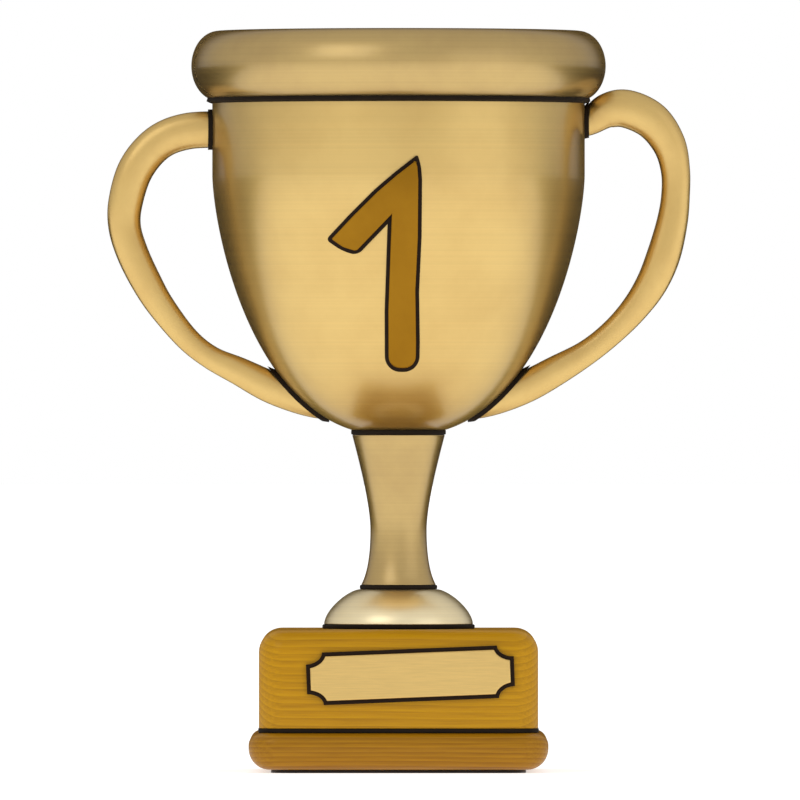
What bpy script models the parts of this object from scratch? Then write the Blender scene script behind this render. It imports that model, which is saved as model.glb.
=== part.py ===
"""A cup trophy, 300 mm tall: a spun brass cup with a rolled rim, two cast handles and a numeral, on a turned
stem, a domed foot and a wooden plinth. One tie rod clamps the whole stack together, from a cap nut in the
bottom of the cup to a nut under the slab.

Run it with: blender --background --python part.py

Metres, +Z up. The origin is the middle of the underside, and the front faces -Y. The parts of the cup are
children of an empty at the lowest point of the bowl. Each handle and its fixings are children of an empty that
is turned about the cup's axis to its own side.
"""

import math

import bmesh
import bpy
from mathutils import Vector

# Driving dimensions.
GAP = 0.0003  # left between two parts that touch
GASKET = 0.0012  # thickness of the black fibre gaskets
JOINT = GASKET + 2 * GAP  # from one part to the next, with a gasket between them

BAIZE_THICKNESS = 0.0010
SLAB_HEIGHT = 0.0149
PLINTH_HEIGHT = 0.0397
DOME_HEIGHT = 0.0142
STEM_HEIGHT = 0.0586
CUP_HEIGHT = 0.1641

SLAB_WIDTH = 0.1209
PLINTH_WIDTH = 0.1126
DOME_RADIUS = 0.0302
BOWL_RADIUS = 0.0755
RIM_RADIUS = 0.0840

# Where each part of the stack stands.
SLAB_SEAT = BAIZE_THICKNESS + GAP
PLINTH_SEAT = SLAB_SEAT + SLAB_HEIGHT + JOINT
DOME_SEAT = PLINTH_SEAT + PLINTH_HEIGHT + JOINT
STEM_SEAT = DOME_SEAT + DOME_HEIGHT + JOINT
CUP_SEAT = STEM_SEAT + STEM_HEIGHT + JOINT

# The bowl: a straight wall that curves in to a small flat round the tie rod. Heights are above the bowl's
# lowest point, as for all the parts of the cup.
BOWL_WALL = 0.0015
BOWL_STRAIGHT_FROM = 0.1061
BOWL_SHOULDER_PULL = 0.0200  # how far the straight wall's direction is felt below it
BOWL_BELLY_PULL = 0.0600  # radius that the flat bottom's direction is felt out to
ROD_HOLE_RADIUS = 0.0034
BOWL_CURVE_STEPS = 13
BOWL_STEP_EASE = 0.8

# The rim: a hollow roll, egg-shaped in section and slit underneath, that hooks over the bowl's lip.
RIM_CENTRE_RADIUS = 0.0730
RIM_INNER_RADIUS = 0.0680
RIM_HALF_HEIGHT = 0.0142
RIM_WALL = 0.0012
RIM_SLIT_DEG = (-71.0, 272.0)  # where the section starts and ends, round from the outermost point
RIM_GASKET_DEG = (-76.0, -66.0)
RIM_GASKET_STEPS = 2
RIM_STEPS = 12
LIP_HEIGHT = CUP_HEIGHT - RIM_WALL - 2 * GAP

# The handles: oval castings bent by hand, so the two spines differ. Each station is (radius from the axis,
# height, width), from inside the upper wall, out round the loop and back through the belly.
HANDLE_STATIONS = {
    "right": (
        (0.0600, 0.1255, 0.0110),
        (0.0690, 0.1259, 0.0110),
        (0.0770, 0.1272, 0.0110),
        (0.0845, 0.1317, 0.0142),
        (0.0925, 0.1325, 0.0155),
        (0.1026, 0.1278, 0.0153),
        (0.1095, 0.1185, 0.0136),
        (0.1122, 0.1080, 0.0119),
        (0.1123, 0.0975, 0.0116),
        (0.1109, 0.0865, 0.0126),
        (0.1074, 0.0730, 0.0137),
        (0.1025, 0.0615, 0.0129),
        (0.0955, 0.0513, 0.0113),
        (0.0868, 0.0421, 0.0102),
        (0.0764, 0.0338, 0.0103),
        (0.0635, 0.0262, 0.0122),
        (0.0515, 0.0198, 0.0130),
        (0.0385, 0.0149, 0.0130),
        (0.0270, 0.0124, 0.0124),
        (0.0160, 0.0112, 0.0118),
    ),
    "left": (
        (0.0560, 0.1244, 0.0148),
        (0.0700, 0.1242, 0.0148),
        (0.0859, 0.1234, 0.0148),
        (0.0975, 0.1187, 0.0146),
        (0.1063, 0.1084, 0.0146),
        (0.1106, 0.0950, 0.0140),
        (0.1110, 0.0846, 0.0132),
        (0.1078, 0.0739, 0.0130),
        (0.1022, 0.0623, 0.0124),
        (0.0959, 0.0520, 0.0112),
        (0.0857, 0.0394, 0.0098),
        (0.0760, 0.0317, 0.0096),
        (0.0645, 0.0261, 0.0114),
        (0.0519, 0.0198, 0.0130),
        (0.0385, 0.0149, 0.0130),
        (0.0270, 0.0124, 0.0124),
        (0.0160, 0.0112, 0.0118),
    ),
}
HANDLE_DEPTH_SHARE = 0.76  # depth over width
HANDLE_ROUNDNESS = 2.5  # exponent of the section's superellipse: 2 is an ellipse
HANDLE_SECTION_POINTS = 12
HANDLE_STEPS_PER_STATION = 2
HANDLE_GASKET_MARGIN = 0.0006
SIDES = (("right", 0.0), ("left", math.pi))

# The handles' fixings: one screw where the wall is upright and one low on the belly.
UPPER_SCREW_HEIGHT = {"right": 0.1268, "left": 0.1242}
LOWER_SCREW_RADIUS = 0.0425
SCREW_RADIUS = 0.0018
SCREW_HEAD_RADIUS = 0.0038
SCREW_HEAD_HEIGHT = 0.0024
SCREW_HEAD_EDGE_SHARE = 0.45  # the head's height at its edge over its height in the middle
SCREW_REACH = 0.0058  # into the handle
SCREW_SLOT = (0.0009, 0.0012)  # width and depth
WASHER_RADIUS = 0.0050
WASHER_THICKNESS = 0.0008
WASHER_STANDOFF = 0.0006  # a flat washer bridges the curved wall

# The numeral: its black backing plate's outline as (across, height), then what the bronze face leaves of it.
NUMERAL_OUTLINE = (
    (0.0077, 0.1132),
    (0.0091, 0.1086),
    (0.0095, 0.1030),
    (0.0093, 0.0800),
    (0.0083, 0.0580),
    (0.0086, 0.0380),
    (0.0084, 0.0258),
    (-0.0055, 0.0258),
    (-0.0056, 0.0500),
    (-0.0044, 0.0852),
    (-0.0166, 0.0726),
    (-0.0230, 0.0746),
    (-0.0293, 0.0790),
    (-0.0197, 0.0892),
    (-0.0095, 0.0993),
    (-0.0014, 0.1062),
)
NUMERAL_ROUNDED = ((6, 7), (10, 12))  # corners of the foot, and of the flag's end
NUMERAL_ROUNDING = (0.0062, 0.0018)
NUMERAL_LEAST_ROUNDING = 0.0007
NUMERAL_BORDER = 0.0015
BACKER_THICKNESS = 0.0010
NUMERAL_THICKNESS = 0.0018
STUD_RADIUS = 0.0014
STUD_ACROSS = 0.0018
STUD_HEIGHTS = {"upper": 0.0980, "lower": 0.0660}
STUD_PROUD = 0.0025  # of its push nut
PUSH_NUT_RADIUS = 0.0042
PUSH_NUT_THICKNESS = 0.0008

# The stem: a hollow turning with a narrow waist and flared ends.
STEM_FOOT_RADIUS = 0.0152
STEM_WAIST_RADIUS = 0.0114
STEM_TOP_RADIUS = 0.0188
STEM_WAIST_HEIGHT = 0.0220
STEM_BORE_RADIUS = 0.0080
STEM_WAIST_PULL = 0.0095  # how far up and down the waist's upright direction is felt
STEM_TOP_PULL = (0.0036, 0.0245)  # out and up from the waist, for the flare under the cup
STEM_FOOT_PULL = (0.0012, 0.0045)  # out from the waist, and up from the foot, for the flare above the dome

# The domed foot: a spun shell with a flat crown that the stem stands on.
DOME_CROWN_RADIUS = 0.0155
DOME_WALL = 0.0012
DOME_CROWN_PULL = 0.0200  # radius that the flat crown's direction is felt out to
DOME_EDGE_PULL = (0.0300, 0.0062)
DOME_GASKET_INNER_RADIUS = 0.0260
SUPPORT_BUSH_RADIUS = 0.0090

# The woodwork.
PLINTH_CORNER_RADIUS = 0.0100
PLINTH_TOP_ROUNDING = 0.0088
SLAB_CORNER_RADIUS = 0.0120
SLAB_TOP_ROUNDING = 0.0050
SLAB_BOTTOM_ROUNDING = 0.0085
BAIZE_WIDTH = 0.1030
BAIZE_CORNER_RADIUS = 0.0080
EDGE_STEPS = 3
WOOD_SCREW_PLACE = 0.0370  # from the middle, along both edges
WOOD_SCREW_LENGTH = 0.0300
WOOD_SCREW_RADIUS = 0.0018
WOOD_SCREW_HEAD_RADIUS = 0.0040
WOOD_SCREW_HEAD_HEIGHT = 0.0024
WOOD_SCREW_HEAD_LAND = 0.0003  # upright edge of the head
WOOD_SCREW_POINT = 0.0040
WOOD_SCREW_HOLE_DEPTH = 0.0320

# The name plate: concave notched corners, a black border plate and an adhesive pad behind it.
BORDER_WIDTH = 0.0838
BORDER_HEIGHT = 0.0212
PLATE_INSET = 0.0019
PLATE_NOTCH = (0.0066, 0.0046)
PLATE_NOTCH_STEPS = 5
PLATE_THICKNESS = 0.0010
BORDER_THICKNESS = 0.0008
TAPE_THICKNESS = 0.0006
TAPE_SIZE = (0.0680, 0.0110)
PLATE_MIDDLE = (0.0048, 0.0215)  # across from the axis, and above the plinth's underside
PLATE_TILT = math.radians(-2.3)  # stuck on by hand, a little up to the right

# The tie rod and its nuts.
ROD_RADIUS = 0.0030
NUT_HEX_RADIUS = 0.0058
NUT_HEIGHT = 0.0043
CAP_NUT_HEIGHT = 0.0094
CAP_NUT_DOME_RADIUS = 0.0047
CAP_NUT_CROWN = 0.0025  # metal left above the blind bore
CLAMP_WASHER_RADIUS = 0.0160
CLAMP_WASHER_THICKNESS = 0.0020
CLAMP_WASHER_RISE = 0.0004  # of its dished top from its bore to the nut's edge
ROD_WASHER_RADIUS = 0.0100
ROD_WASHER_THICKNESS = 0.0015
SPRING_WASHER_RADIUS = 0.0054
SPRING_WASHER_SPLIT = 0.0008
COUNTERBORE_RADIUS = 0.0120
COUNTERBORE_DEPTH = 0.0092

# Fineness of the round parts, and the angle past which an edge is drawn sharp.
BIG_STEPS = 36
STEM_TURN_STEPS = 24
SMALL_STEPS = 12
SHARP_ANGLE = math.radians(35)
MERGE_DISTANCE = 1e-6
CUT_MARGIN = 0.0010  # how far a cutter runs past what it cuts


def linear(channel):
    """One sRGB channel, 0 to 1, as linear light."""
    return channel / 12.92 if channel <= 0.04045 else ((channel + 0.055) / 1.055) ** 2.4


def finish(name, hex_colour, roughness, metallic):
    """A Principled BSDF material of one colour."""
    material = bpy.data.materials.new(name)
    material.use_nodes = True
    shader = material.node_tree.nodes["Principled BSDF"]
    channels = [int(hex_colour[i : i + 2], 16) / 255 for i in (1, 3, 5)]
    shader.inputs["Base Color"].default_value = [linear(c) for c in channels] + [1.0]
    shader.inputs["Roughness"].default_value = roughness
    shader.inputs["Metallic"].default_value = metallic
    return material


def empty(name, parent=None, height=0.0, turn=0.0):
    """An empty on the trophy's axis that other objects are placed from."""
    obj = bpy.data.objects.new(name, None)
    bpy.context.scene.collection.objects.link(obj)
    obj.parent = parent
    obj.location = (0.0, 0.0, height)
    obj.rotation_euler = (0.0, 0.0, turn)
    return obj


def place(name, shape, material, parent, location=(0.0, 0.0, 0.0), direction=(0.0, 0.0, 1.0)):
    """An object made from a bmesh, with its own +Z turned to the direction given."""
    mesh = bpy.data.meshes.new(name)
    shape.to_mesh(mesh)
    shape.free()
    mesh.shade_smooth()
    mesh.set_sharp_from_angle(angle=SHARP_ANGLE)
    mesh.materials.append(material)
    obj = bpy.data.objects.new(name, mesh)
    bpy.context.scene.collection.objects.link(obj)
    obj.parent = parent
    obj.location = location
    obj.rotation_mode = "QUATERNION"
    obj.rotation_quaternion = Vector((0.0, 0.0, 1.0)).rotation_difference(Vector(direction))
    return obj


def as_helper(obj):
    """Marks a shape that only cuts or trims another one."""
    obj.hide_render = True
    obj.display_type = "WIRE"
    return obj


def combine(obj, other, operation):
    """Adds a Boolean with the other object: DIFFERENCE, INTERSECT or UNION."""
    modifier = obj.modifiers.new(other.name, "BOOLEAN")
    modifier.operation = operation
    modifier.solver = "EXACT"
    modifier.object = other
    return obj


def turned(outline, steps):
    """An outline of (radius, height) points spun round Z: a solid if it starts on the axis, or else a ring."""
    shape = bmesh.new()
    points = [shape.verts.new((radius, 0.0, height)) for radius, height in outline]
    pairs = list(zip(points, points[1:]))
    if outline[0][0] > 0.0:
        pairs.append((points[-1], points[0]))
    edges = [shape.edges.new(pair) for pair in pairs]
    bmesh.ops.spin(
        shape,
        geom=points + edges,
        cent=(0, 0, 0),
        axis=(0, 0, 1),
        angle=math.tau,
        steps=steps,
        use_merge=True,
    )
    bmesh.ops.remove_doubles(shape, verts=shape.verts, dist=MERGE_DISTANCE)
    bmesh.ops.recalc_face_normals(shape, faces=shape.faces)
    return shape


def tube(inner, outer, bottom, top, steps=SMALL_STEPS):
    return turned([(inner, bottom), (outer, bottom), (outer, top), (inner, top)], steps)


def rod(radius, bottom, top, steps=SMALL_STEPS):
    return turned([(0.0, bottom), (radius, bottom), (radius, top), (0.0, top)], steps)


def rounded_block(width, height, corner, top_rounding=0.0, bottom_rounding=0.0):
    """A square block that stands on z = 0, with its upright corners and then its level edges rounded."""
    shape = bmesh.new()
    bmesh.ops.create_cube(shape, size=1.0)
    bmesh.ops.translate(shape, verts=shape.verts, vec=(0.0, 0.0, 0.5))
    bmesh.ops.scale(shape, verts=shape.verts, vec=(width, width, height))
    upright = [e for e in shape.edges if abs(e.verts[0].co.z - e.verts[1].co.z) > height / 2]
    bmesh.ops.bevel(shape, geom=upright, offset=corner, affect="EDGES", segments=EDGE_STEPS, profile=0.5)
    for level, size in ((height, top_rounding), (0.0, bottom_rounding)):
        rim = [e for e in shape.edges if all(abs(v.co.z - level) < MERGE_DISTANCE for v in e.verts)]
        if size:
            bmesh.ops.bevel(shape, geom=rim, offset=size, affect="EDGES", segments=EDGE_STEPS, profile=0.5)
    return shape


def upright_face(outline):
    """One face in the XZ plane, from (across, height) points."""
    shape = bmesh.new()
    shape.faces.new([shape.verts.new((across, 0.0, height)) for across, height in outline])
    shape.normal_update()
    return shape


def drawn_in(shape, inset):
    """Moves the edge of a bmesh that is one face in by inset."""
    if inset:
        rim = bmesh.ops.inset_individual(shape, faces=shape.faces[:], thickness=inset, use_even_offset=True)
        bmesh.ops.delete(shape, geom=rim["faces"], context="FACES")
    return shape


def thickened(shape, thickness):
    """Extrudes a bmesh that is one upright face along +Y, and turns its faces outwards."""
    grown = bmesh.ops.extrude_face_region(shape, geom=shape.faces[:])
    moved = [item for item in grown["geom"] if isinstance(item, bmesh.types.BMVert)]
    bmesh.ops.translate(shape, verts=moved, vec=(0.0, thickness, 0.0))
    bmesh.ops.recalc_face_normals(shape, faces=shape.faces)
    return shape


def bezier(start, start_pull, end_pull, end, share):
    """A point of a cubic curve in the (radius, height) plane, and its outward normal."""
    a, b, c, d = (Vector(p) for p in (start, start_pull, end_pull, end))
    rest = 1.0 - share
    point = rest**3 * a + 3 * rest**2 * share * b + 3 * rest * share**2 * c + share**3 * d
    along = rest**2 * (b - a) + 2 * rest * share * (c - b) + share**2 * (d - c)
    along.normalize()
    return point, Vector((-along.y, along.x))


def bowl_point(share, offset=0.0):
    """A point of the bowl's outside, from its shoulder at 0 to its flat bottom at 1, moved out by offset."""
    point, normal = bezier(
        (BOWL_RADIUS, BOWL_STRAIGHT_FROM),
        (BOWL_RADIUS, BOWL_STRAIGHT_FROM - BOWL_SHOULDER_PULL),
        (BOWL_BELLY_PULL, 0.0),
        (ROD_HOLE_RADIUS, 0.0),
        share,
    )
    return point + normal * offset


def bowl_curve(offset, top):
    """The bowl's outside, moved out by offset, as points from top down, closer together low down."""
    shares = [(step / BOWL_CURVE_STEPS) ** BOWL_STEP_EASE for step in range(BOWL_CURVE_STEPS + 1)]
    return [(BOWL_RADIUS + offset, top)] + [tuple(bowl_point(share, offset)) for share in shares]


def bowl_shell(inner_offset, outer_offset, top):
    """The closed section between two curves that run side by side along the bowl."""
    return bowl_curve(outer_offset, top) + bowl_curve(inner_offset, top)[::-1]


def share_where(axis, value, offset=0.0):
    """The share at which the bowl's curve has this radius, axis 0, or this height, axis 1."""
    low, high = 0.0, 1.0
    for _ in range(40):
        middle = (low + high) / 2
        if bowl_point(middle, offset)[axis] > value:
            low = middle
        else:
            high = middle
    return low


def bowl_dish(inner_offset, outer_offset, inner_radius, outer_radius, steps=3):
    """The closed section of a ring that lies along the bowl's bottom, between two radii."""
    curves = []
    for offset in (outer_offset, inner_offset):
        first, last = (share_where(0, radius, offset) for radius in (outer_radius, inner_radius))
        shares = [first + (last - first) * step / steps for step in range(steps + 1)]
        curves.append([tuple(bowl_point(share, offset)) for share in shares])
    return curves[0] + curves[1][::-1]


def rim_curve(inset, span_deg, steps):
    """Part of the rim's egg-shaped section, moved in by inset."""
    first, last = span_deg
    points = []
    for step in range(steps + 1):
        angle = math.radians(first + (last - first) * step / steps)
        edge_radius = RIM_RADIUS if math.cos(angle) > 0.0 else RIM_INNER_RADIUS
        bulge = abs(edge_radius - RIM_CENTRE_RADIUS)
        radius = RIM_CENTRE_RADIUS + (bulge - inset) * math.cos(angle)
        height = CUP_HEIGHT - RIM_HALF_HEIGHT + (RIM_HALF_HEIGHT - inset) * math.sin(angle)
        points.append((radius, height))
    return points


def handle_sections(side, margin):
    """Rings of points round a handle's spine, which is a Catmull-Rom curve through the stations."""
    stations = [Vector(station) for station in HANDLE_STATIONS[side]]
    spine = []
    for before, start, end, after in zip(stations, stations[1:], stations[2:], stations[3:]):
        for step in range(HANDLE_STEPS_PER_STATION):
            t = step / HANDLE_STEPS_PER_STATION
            spine.append(
                0.5
                * (
                    2 * start
                    + (end - before) * t
                    + (2 * before - 5 * start + 4 * end - after) * t**2
                    + (3 * start - before - 3 * end + after) * t**3
                )
            )
    spine.append(stations[-2])
    rings = []
    for index, point in enumerate(spine):
        along = spine[min(index + 1, len(spine) - 1)] - spine[max(index - 1, 0)]
        across = Vector((along.y, 0.0, -along.x)).normalized()
        centre = Vector((point.x, 0.0, point.y))
        half_width = point.z / 2 + margin
        half_depth = point.z / 2 * HANDLE_DEPTH_SHARE + margin
        ring = []
        for step in range(HANDLE_SECTION_POINTS):
            angle = math.tau * step / HANDLE_SECTION_POINTS
            c, s = (
                math.copysign(abs(value) ** (2 / HANDLE_ROUNDNESS), value)
                for value in (math.cos(angle), math.sin(angle))
            )
            ring.append(centre + across * (half_width * c) + Vector((0.0, half_depth * s, 0.0)))
        rings.append(ring)
    return rings


def lofted(rings):
    """A closed body through rings that have the same number of points."""
    shape = bmesh.new()
    loops = []
    for ring in rings:
        points = [shape.verts.new(point) for point in ring]
        loops.append([shape.edges.new(pair) for pair in zip(points, points[1:] + points[:1])])
    for first, second in zip(loops, loops[1:]):
        bmesh.ops.bridge_loops(shape, edges=first + second)
    for end in (loops[0], loops[-1]):
        bmesh.ops.edgeloop_fill(shape, edges=end)
    bmesh.ops.recalc_face_normals(shape, faces=shape.faces)
    return shape


def pan_head_screw(length):
    """A machine screw whose head sits on z = 0, with its shank running down to -length."""
    dome = [
        (
            SCREW_HEAD_RADIUS * math.cos(angle),
            SCREW_HEAD_HEIGHT * (SCREW_HEAD_EDGE_SHARE + (1 - SCREW_HEAD_EDGE_SHARE) * math.sin(angle)),
        )
        for angle in (0.0, math.pi / 6, math.pi / 3)
    ]
    outline = [(0.0, -length), (SCREW_RADIUS, -length), (SCREW_RADIUS, 0.0), (SCREW_HEAD_RADIUS, 0.0)]
    return turned(outline + dome + [(0.0, SCREW_HEAD_HEIGHT)], SMALL_STEPS)


def wood_screw():
    """A countersunk wood screw, head down on z = 0, with its point up."""
    outline = [
        (0.0, 0.0),
        (WOOD_SCREW_HEAD_RADIUS, 0.0),
        (WOOD_SCREW_HEAD_RADIUS, WOOD_SCREW_HEAD_LAND),
        (WOOD_SCREW_RADIUS, WOOD_SCREW_HEAD_HEIGHT),
        (WOOD_SCREW_RADIUS, WOOD_SCREW_LENGTH - WOOD_SCREW_POINT),
        (0.0, WOOD_SCREW_LENGTH),
    ]
    return turned(outline, SMALL_STEPS)


def hexagon():
    """A nut's six-sided prism, which stands on z = 0."""
    return rod(NUT_HEX_RADIUS, 0.0, NUT_HEIGHT, 6)


def screw_slot(name, parent, location, direction):
    """The box that cuts a screwdriver slot across a head whose top is at SCREW_HEAD_HEIGHT."""
    width, depth = SCREW_SLOT
    shape = bmesh.new()
    bmesh.ops.create_cube(shape, size=1.0)
    bmesh.ops.scale(shape, verts=shape.verts, vec=(width, 3 * SCREW_HEAD_RADIUS, 2 * depth))
    bmesh.ops.translate(shape, verts=shape.verts, vec=(0.0, 0.0, SCREW_HEAD_HEIGHT))
    return as_helper(place(name, shape, BLACK_FIBRE, parent, location, direction))


def numeral_prism(inset):
    """The numeral's outline, moved in by inset, as a long prism through the front of the bowl."""
    shape = drawn_in(upright_face(NUMERAL_OUTLINE), inset)
    corners = list(next(iter(shape.faces)).verts)
    for indices, rounding in zip(NUMERAL_ROUNDED, NUMERAL_ROUNDING):
        rounded = [corners[index] for index in indices]
        offset = max(rounding - inset, NUMERAL_LEAST_ROUNDING)
        bmesh.ops.bevel(shape, geom=rounded, offset=offset, affect="VERTICES", segments=4, profile=0.5)
    return thickened(shape, -2 * BOWL_RADIUS)


def plate_outline():
    """The border plate: a rectangle with a quarter of an ellipse cut out of each corner."""
    half_width, half_height = BORDER_WIDTH / 2, BORDER_HEIGHT / 2
    points = []
    for corner in range(4):
        side = 1 if corner in (0, 3) else -1
        up = 1 if corner in (0, 1) else -1
        steps = range(PLATE_NOTCH_STEPS + 1)
        arc = [math.pi / 2 * step / PLATE_NOTCH_STEPS for step in steps]
        if side * up > 0:
            arc.reverse()
        for angle in arc:
            across = side * (half_width - PLATE_NOTCH[0] * math.cos(angle))
            height = up * (half_height - PLATE_NOTCH[1] * math.sin(angle))
            points.append((across, height))
    return points


def build_stack(trophy):
    """The baize, the slab, the plinth, the domed foot and the stem, with their gaskets."""
    place("baize_pad", rounded_block(BAIZE_WIDTH, BAIZE_THICKNESS, BAIZE_CORNER_RADIUS), BLACK_BAIZE, trophy)

    slab_shape = rounded_block(
        SLAB_WIDTH, SLAB_HEIGHT, SLAB_CORNER_RADIUS, SLAB_TOP_ROUNDING, SLAB_BOTTOM_ROUNDING
    )
    slab = place("base_slab", slab_shape, BROWN_WOOD, trophy, (0.0, 0.0, SLAB_SEAT))
    counterbore = turned(
        [
            (0.0, -CUT_MARGIN),
            (COUNTERBORE_RADIUS, -CUT_MARGIN),
            (COUNTERBORE_RADIUS, COUNTERBORE_DEPTH),
            (ROD_HOLE_RADIUS, COUNTERBORE_DEPTH),
            (ROD_HOLE_RADIUS, SLAB_HEIGHT + CUT_MARGIN),
            (0.0, SLAB_HEIGHT + CUT_MARGIN),
        ],
        SMALL_STEPS,
    )
    combine(slab, as_helper(place("slab_counterbore", counterbore, BROWN_WOOD, slab)), "DIFFERENCE")

    sheet_seat = SLAB_SEAT + SLAB_HEIGHT + GAP
    sheet = place(
        "plinth_gasket",
        rounded_block(PLINTH_WIDTH + 2 * GAP, GASKET, PLINTH_CORNER_RADIUS),
        BLACK_FIBRE,
        trophy,
        (0.0, 0.0, sheet_seat),
    )
    sheet_hole = rod(ROD_HOLE_RADIUS, -CUT_MARGIN, GASKET + CUT_MARGIN)
    combine(sheet, as_helper(place("gasket_rod_hole", sheet_hole, BLACK_FIBRE, sheet)), "DIFFERENCE")

    block_shape = rounded_block(PLINTH_WIDTH, PLINTH_HEIGHT, PLINTH_CORNER_RADIUS, PLINTH_TOP_ROUNDING)
    block = place("plinth_block", block_shape, HONEY_WOOD, trophy, (0.0, 0.0, PLINTH_SEAT))
    block_hole = rod(ROD_HOLE_RADIUS, -CUT_MARGIN, PLINTH_HEIGHT + CUT_MARGIN)
    combine(block, as_helper(place("plinth_rod_hole", block_hole, HONEY_WOOD, block)), "DIFFERENCE")

    build_wood_screws(trophy, slab, sheet, block)

    place(
        "dome_gasket",
        tube(DOME_GASKET_INNER_RADIUS, DOME_RADIUS + 2 * GAP, 0.0, GASKET, STEM_TURN_STEPS),
        BLACK_FIBRE,
        trophy,
        (0.0, 0.0, DOME_SEAT - GAP - GASKET),
    )
    place("dome_foot", turned(dome_section(), STEM_TURN_STEPS), PALE_BRASS, trophy, (0.0, 0.0, DOME_SEAT))
    bush_bottom = PLINTH_SEAT + PLINTH_HEIGHT + GAP
    bush_height = DOME_SEAT + DOME_HEIGHT - DOME_WALL - GAP - bush_bottom
    place(
        "dome_support_bush",
        tube(ROD_HOLE_RADIUS, SUPPORT_BUSH_RADIUS, 0.0, bush_height),
        ZINC_STEEL,
        trophy,
        (0.0, 0.0, bush_bottom),
    )

    place(
        "stem_bottom_gasket",
        tube(STEM_BORE_RADIUS, STEM_FOOT_RADIUS + GAP, 0.0, GASKET, STEM_TURN_STEPS),
        BLACK_FIBRE,
        trophy,
        (0.0, 0.0, STEM_SEAT - GAP - GASKET),
    )
    place("stem", turned(stem_section(), STEM_TURN_STEPS), DARK_BRASS, trophy, (0.0, 0.0, STEM_SEAT))


def dome_section():
    """The domed foot's wall: a flat crown, then one curve down to the edge that stands on the gasket."""
    def curve(inset):
        crown, edge = (DOME_CROWN_RADIUS, DOME_HEIGHT), (DOME_RADIUS, 0.0)
        points = []
        for step in range(7):
            point, normal = bezier(crown, (DOME_CROWN_PULL, DOME_HEIGHT), DOME_EDGE_PULL, edge, step / 6)
            points.append((point.x - abs(normal.x) * inset, max(point.y - abs(normal.y) * inset, 0.0)))
        return points

    outside = [(ROD_HOLE_RADIUS, DOME_HEIGHT)] + curve(0.0)
    inside = [(ROD_HOLE_RADIUS, DOME_HEIGHT - DOME_WALL)] + curve(DOME_WALL)
    return outside + inside[::-1]


def stem_section():
    """The stem's wall: up the bore, out along a dished top that follows the bowl, and down the outside."""
    lift = CUP_SEAT - STEM_SEAT
    first, last = (share_where(0, radius, JOINT) for radius in (STEM_TOP_RADIUS, STEM_BORE_RADIUS))
    dish = [bowl_point(last + (first - last) * step / 4, JOINT) for step in range(5)]
    top = [(point.x, point.y + lift) for point in dish]
    waist = (STEM_WAIST_RADIUS, STEM_WAIST_HEIGHT)
    above, below = ((STEM_WAIST_RADIUS, STEM_WAIST_HEIGHT + side * STEM_WAIST_PULL) for side in (1, -1))
    top_pull = (STEM_WAIST_RADIUS + STEM_TOP_PULL[0], STEM_WAIST_HEIGHT + STEM_TOP_PULL[1])
    foot_pull = (STEM_WAIST_RADIUS + STEM_FOOT_PULL[0], STEM_FOOT_PULL[1])
    foot = (STEM_FOOT_RADIUS, 0.0)
    upper = [bezier(top[-1], top_pull, above, waist, step / 8)[0] for step in range(1, 9)]
    lower = [bezier(waist, below, foot_pull, foot, step / 6)[0] for step in range(1, 7)]
    return [(STEM_BORE_RADIUS, 0.0)] + top + [tuple(point) for point in upper + lower]


def build_wood_screws(trophy, slab, sheet, block):
    """Four countersunk screws that hold the slab to the plinth, and the holes that they stand in."""
    sink = GAP / 2  # below the slab's face
    for depth_name, y_side in (("front", -1), ("back", 1)):
        for width_name, x_side in (("left", -1), ("right", 1)):
            where = f"{depth_name}_{width_name}"
            place_xy = (x_side * WOOD_SCREW_PLACE, y_side * WOOD_SCREW_PLACE)
            place(f"slab_screw_{where}", wood_screw(), ZINC_STEEL, trophy, (*place_xy, SLAB_SEAT + sink))
            wide = WOOD_SCREW_HEAD_RADIUS + GAP + sink
            narrow = WOOD_SCREW_RADIUS + GAP
            hole = turned(
                [
                    (0.0, -CUT_MARGIN),
                    (wide + CUT_MARGIN / 2, -CUT_MARGIN),
                    (wide, WOOD_SCREW_HEAD_LAND + GAP),
                    (narrow, WOOD_SCREW_HEAD_HEIGHT + GAP),
                    (narrow, WOOD_SCREW_HOLE_DEPTH),
                    (0.0, WOOD_SCREW_HOLE_DEPTH + CUT_MARGIN),
                ],
                SMALL_STEPS,
            )
            cutter = place(f"screw_hole_{where}", hole, ZINC_STEEL, trophy, (*place_xy, SLAB_SEAT))
            as_helper(cutter)
            for part in (slab, sheet, block):
                combine(part, cutter, "DIFFERENCE")


def build_name_plate(trophy):
    """The adhesive pad, the black border plate and the brass plate, one in front of the other."""
    face = -PLINTH_WIDTH / 2
    across, above = PLATE_MIDDLE
    plate_frame = empty("plate", trophy, PLINTH_SEAT + above)
    plate_frame.location.x = across
    plate_frame.rotation_euler.y = PLATE_TILT
    width, height = TAPE_SIZE
    tape = [(side * width / 2, up * height / 2) for side, up in ((-1, -1), (1, -1), (1, 1), (-1, 1))]
    layers = (
        ("name_plate_tape", upright_face(tape), TAPE_THICKNESS, BLACK_FOAM),
        ("name_plate_border", upright_face(plate_outline()), BORDER_THICKNESS, BLACK_ENAMEL),
        ("name_plate", drawn_in(upright_face(plate_outline()), PLATE_INSET), PLATE_THICKNESS, GOLD_BRASS),
    )
    for name, shape, thickness, material in layers:
        face -= GAP
        place(name, thickened(shape, -thickness), material, plate_frame, (0.0, face, 0.0))
        face -= thickness


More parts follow.
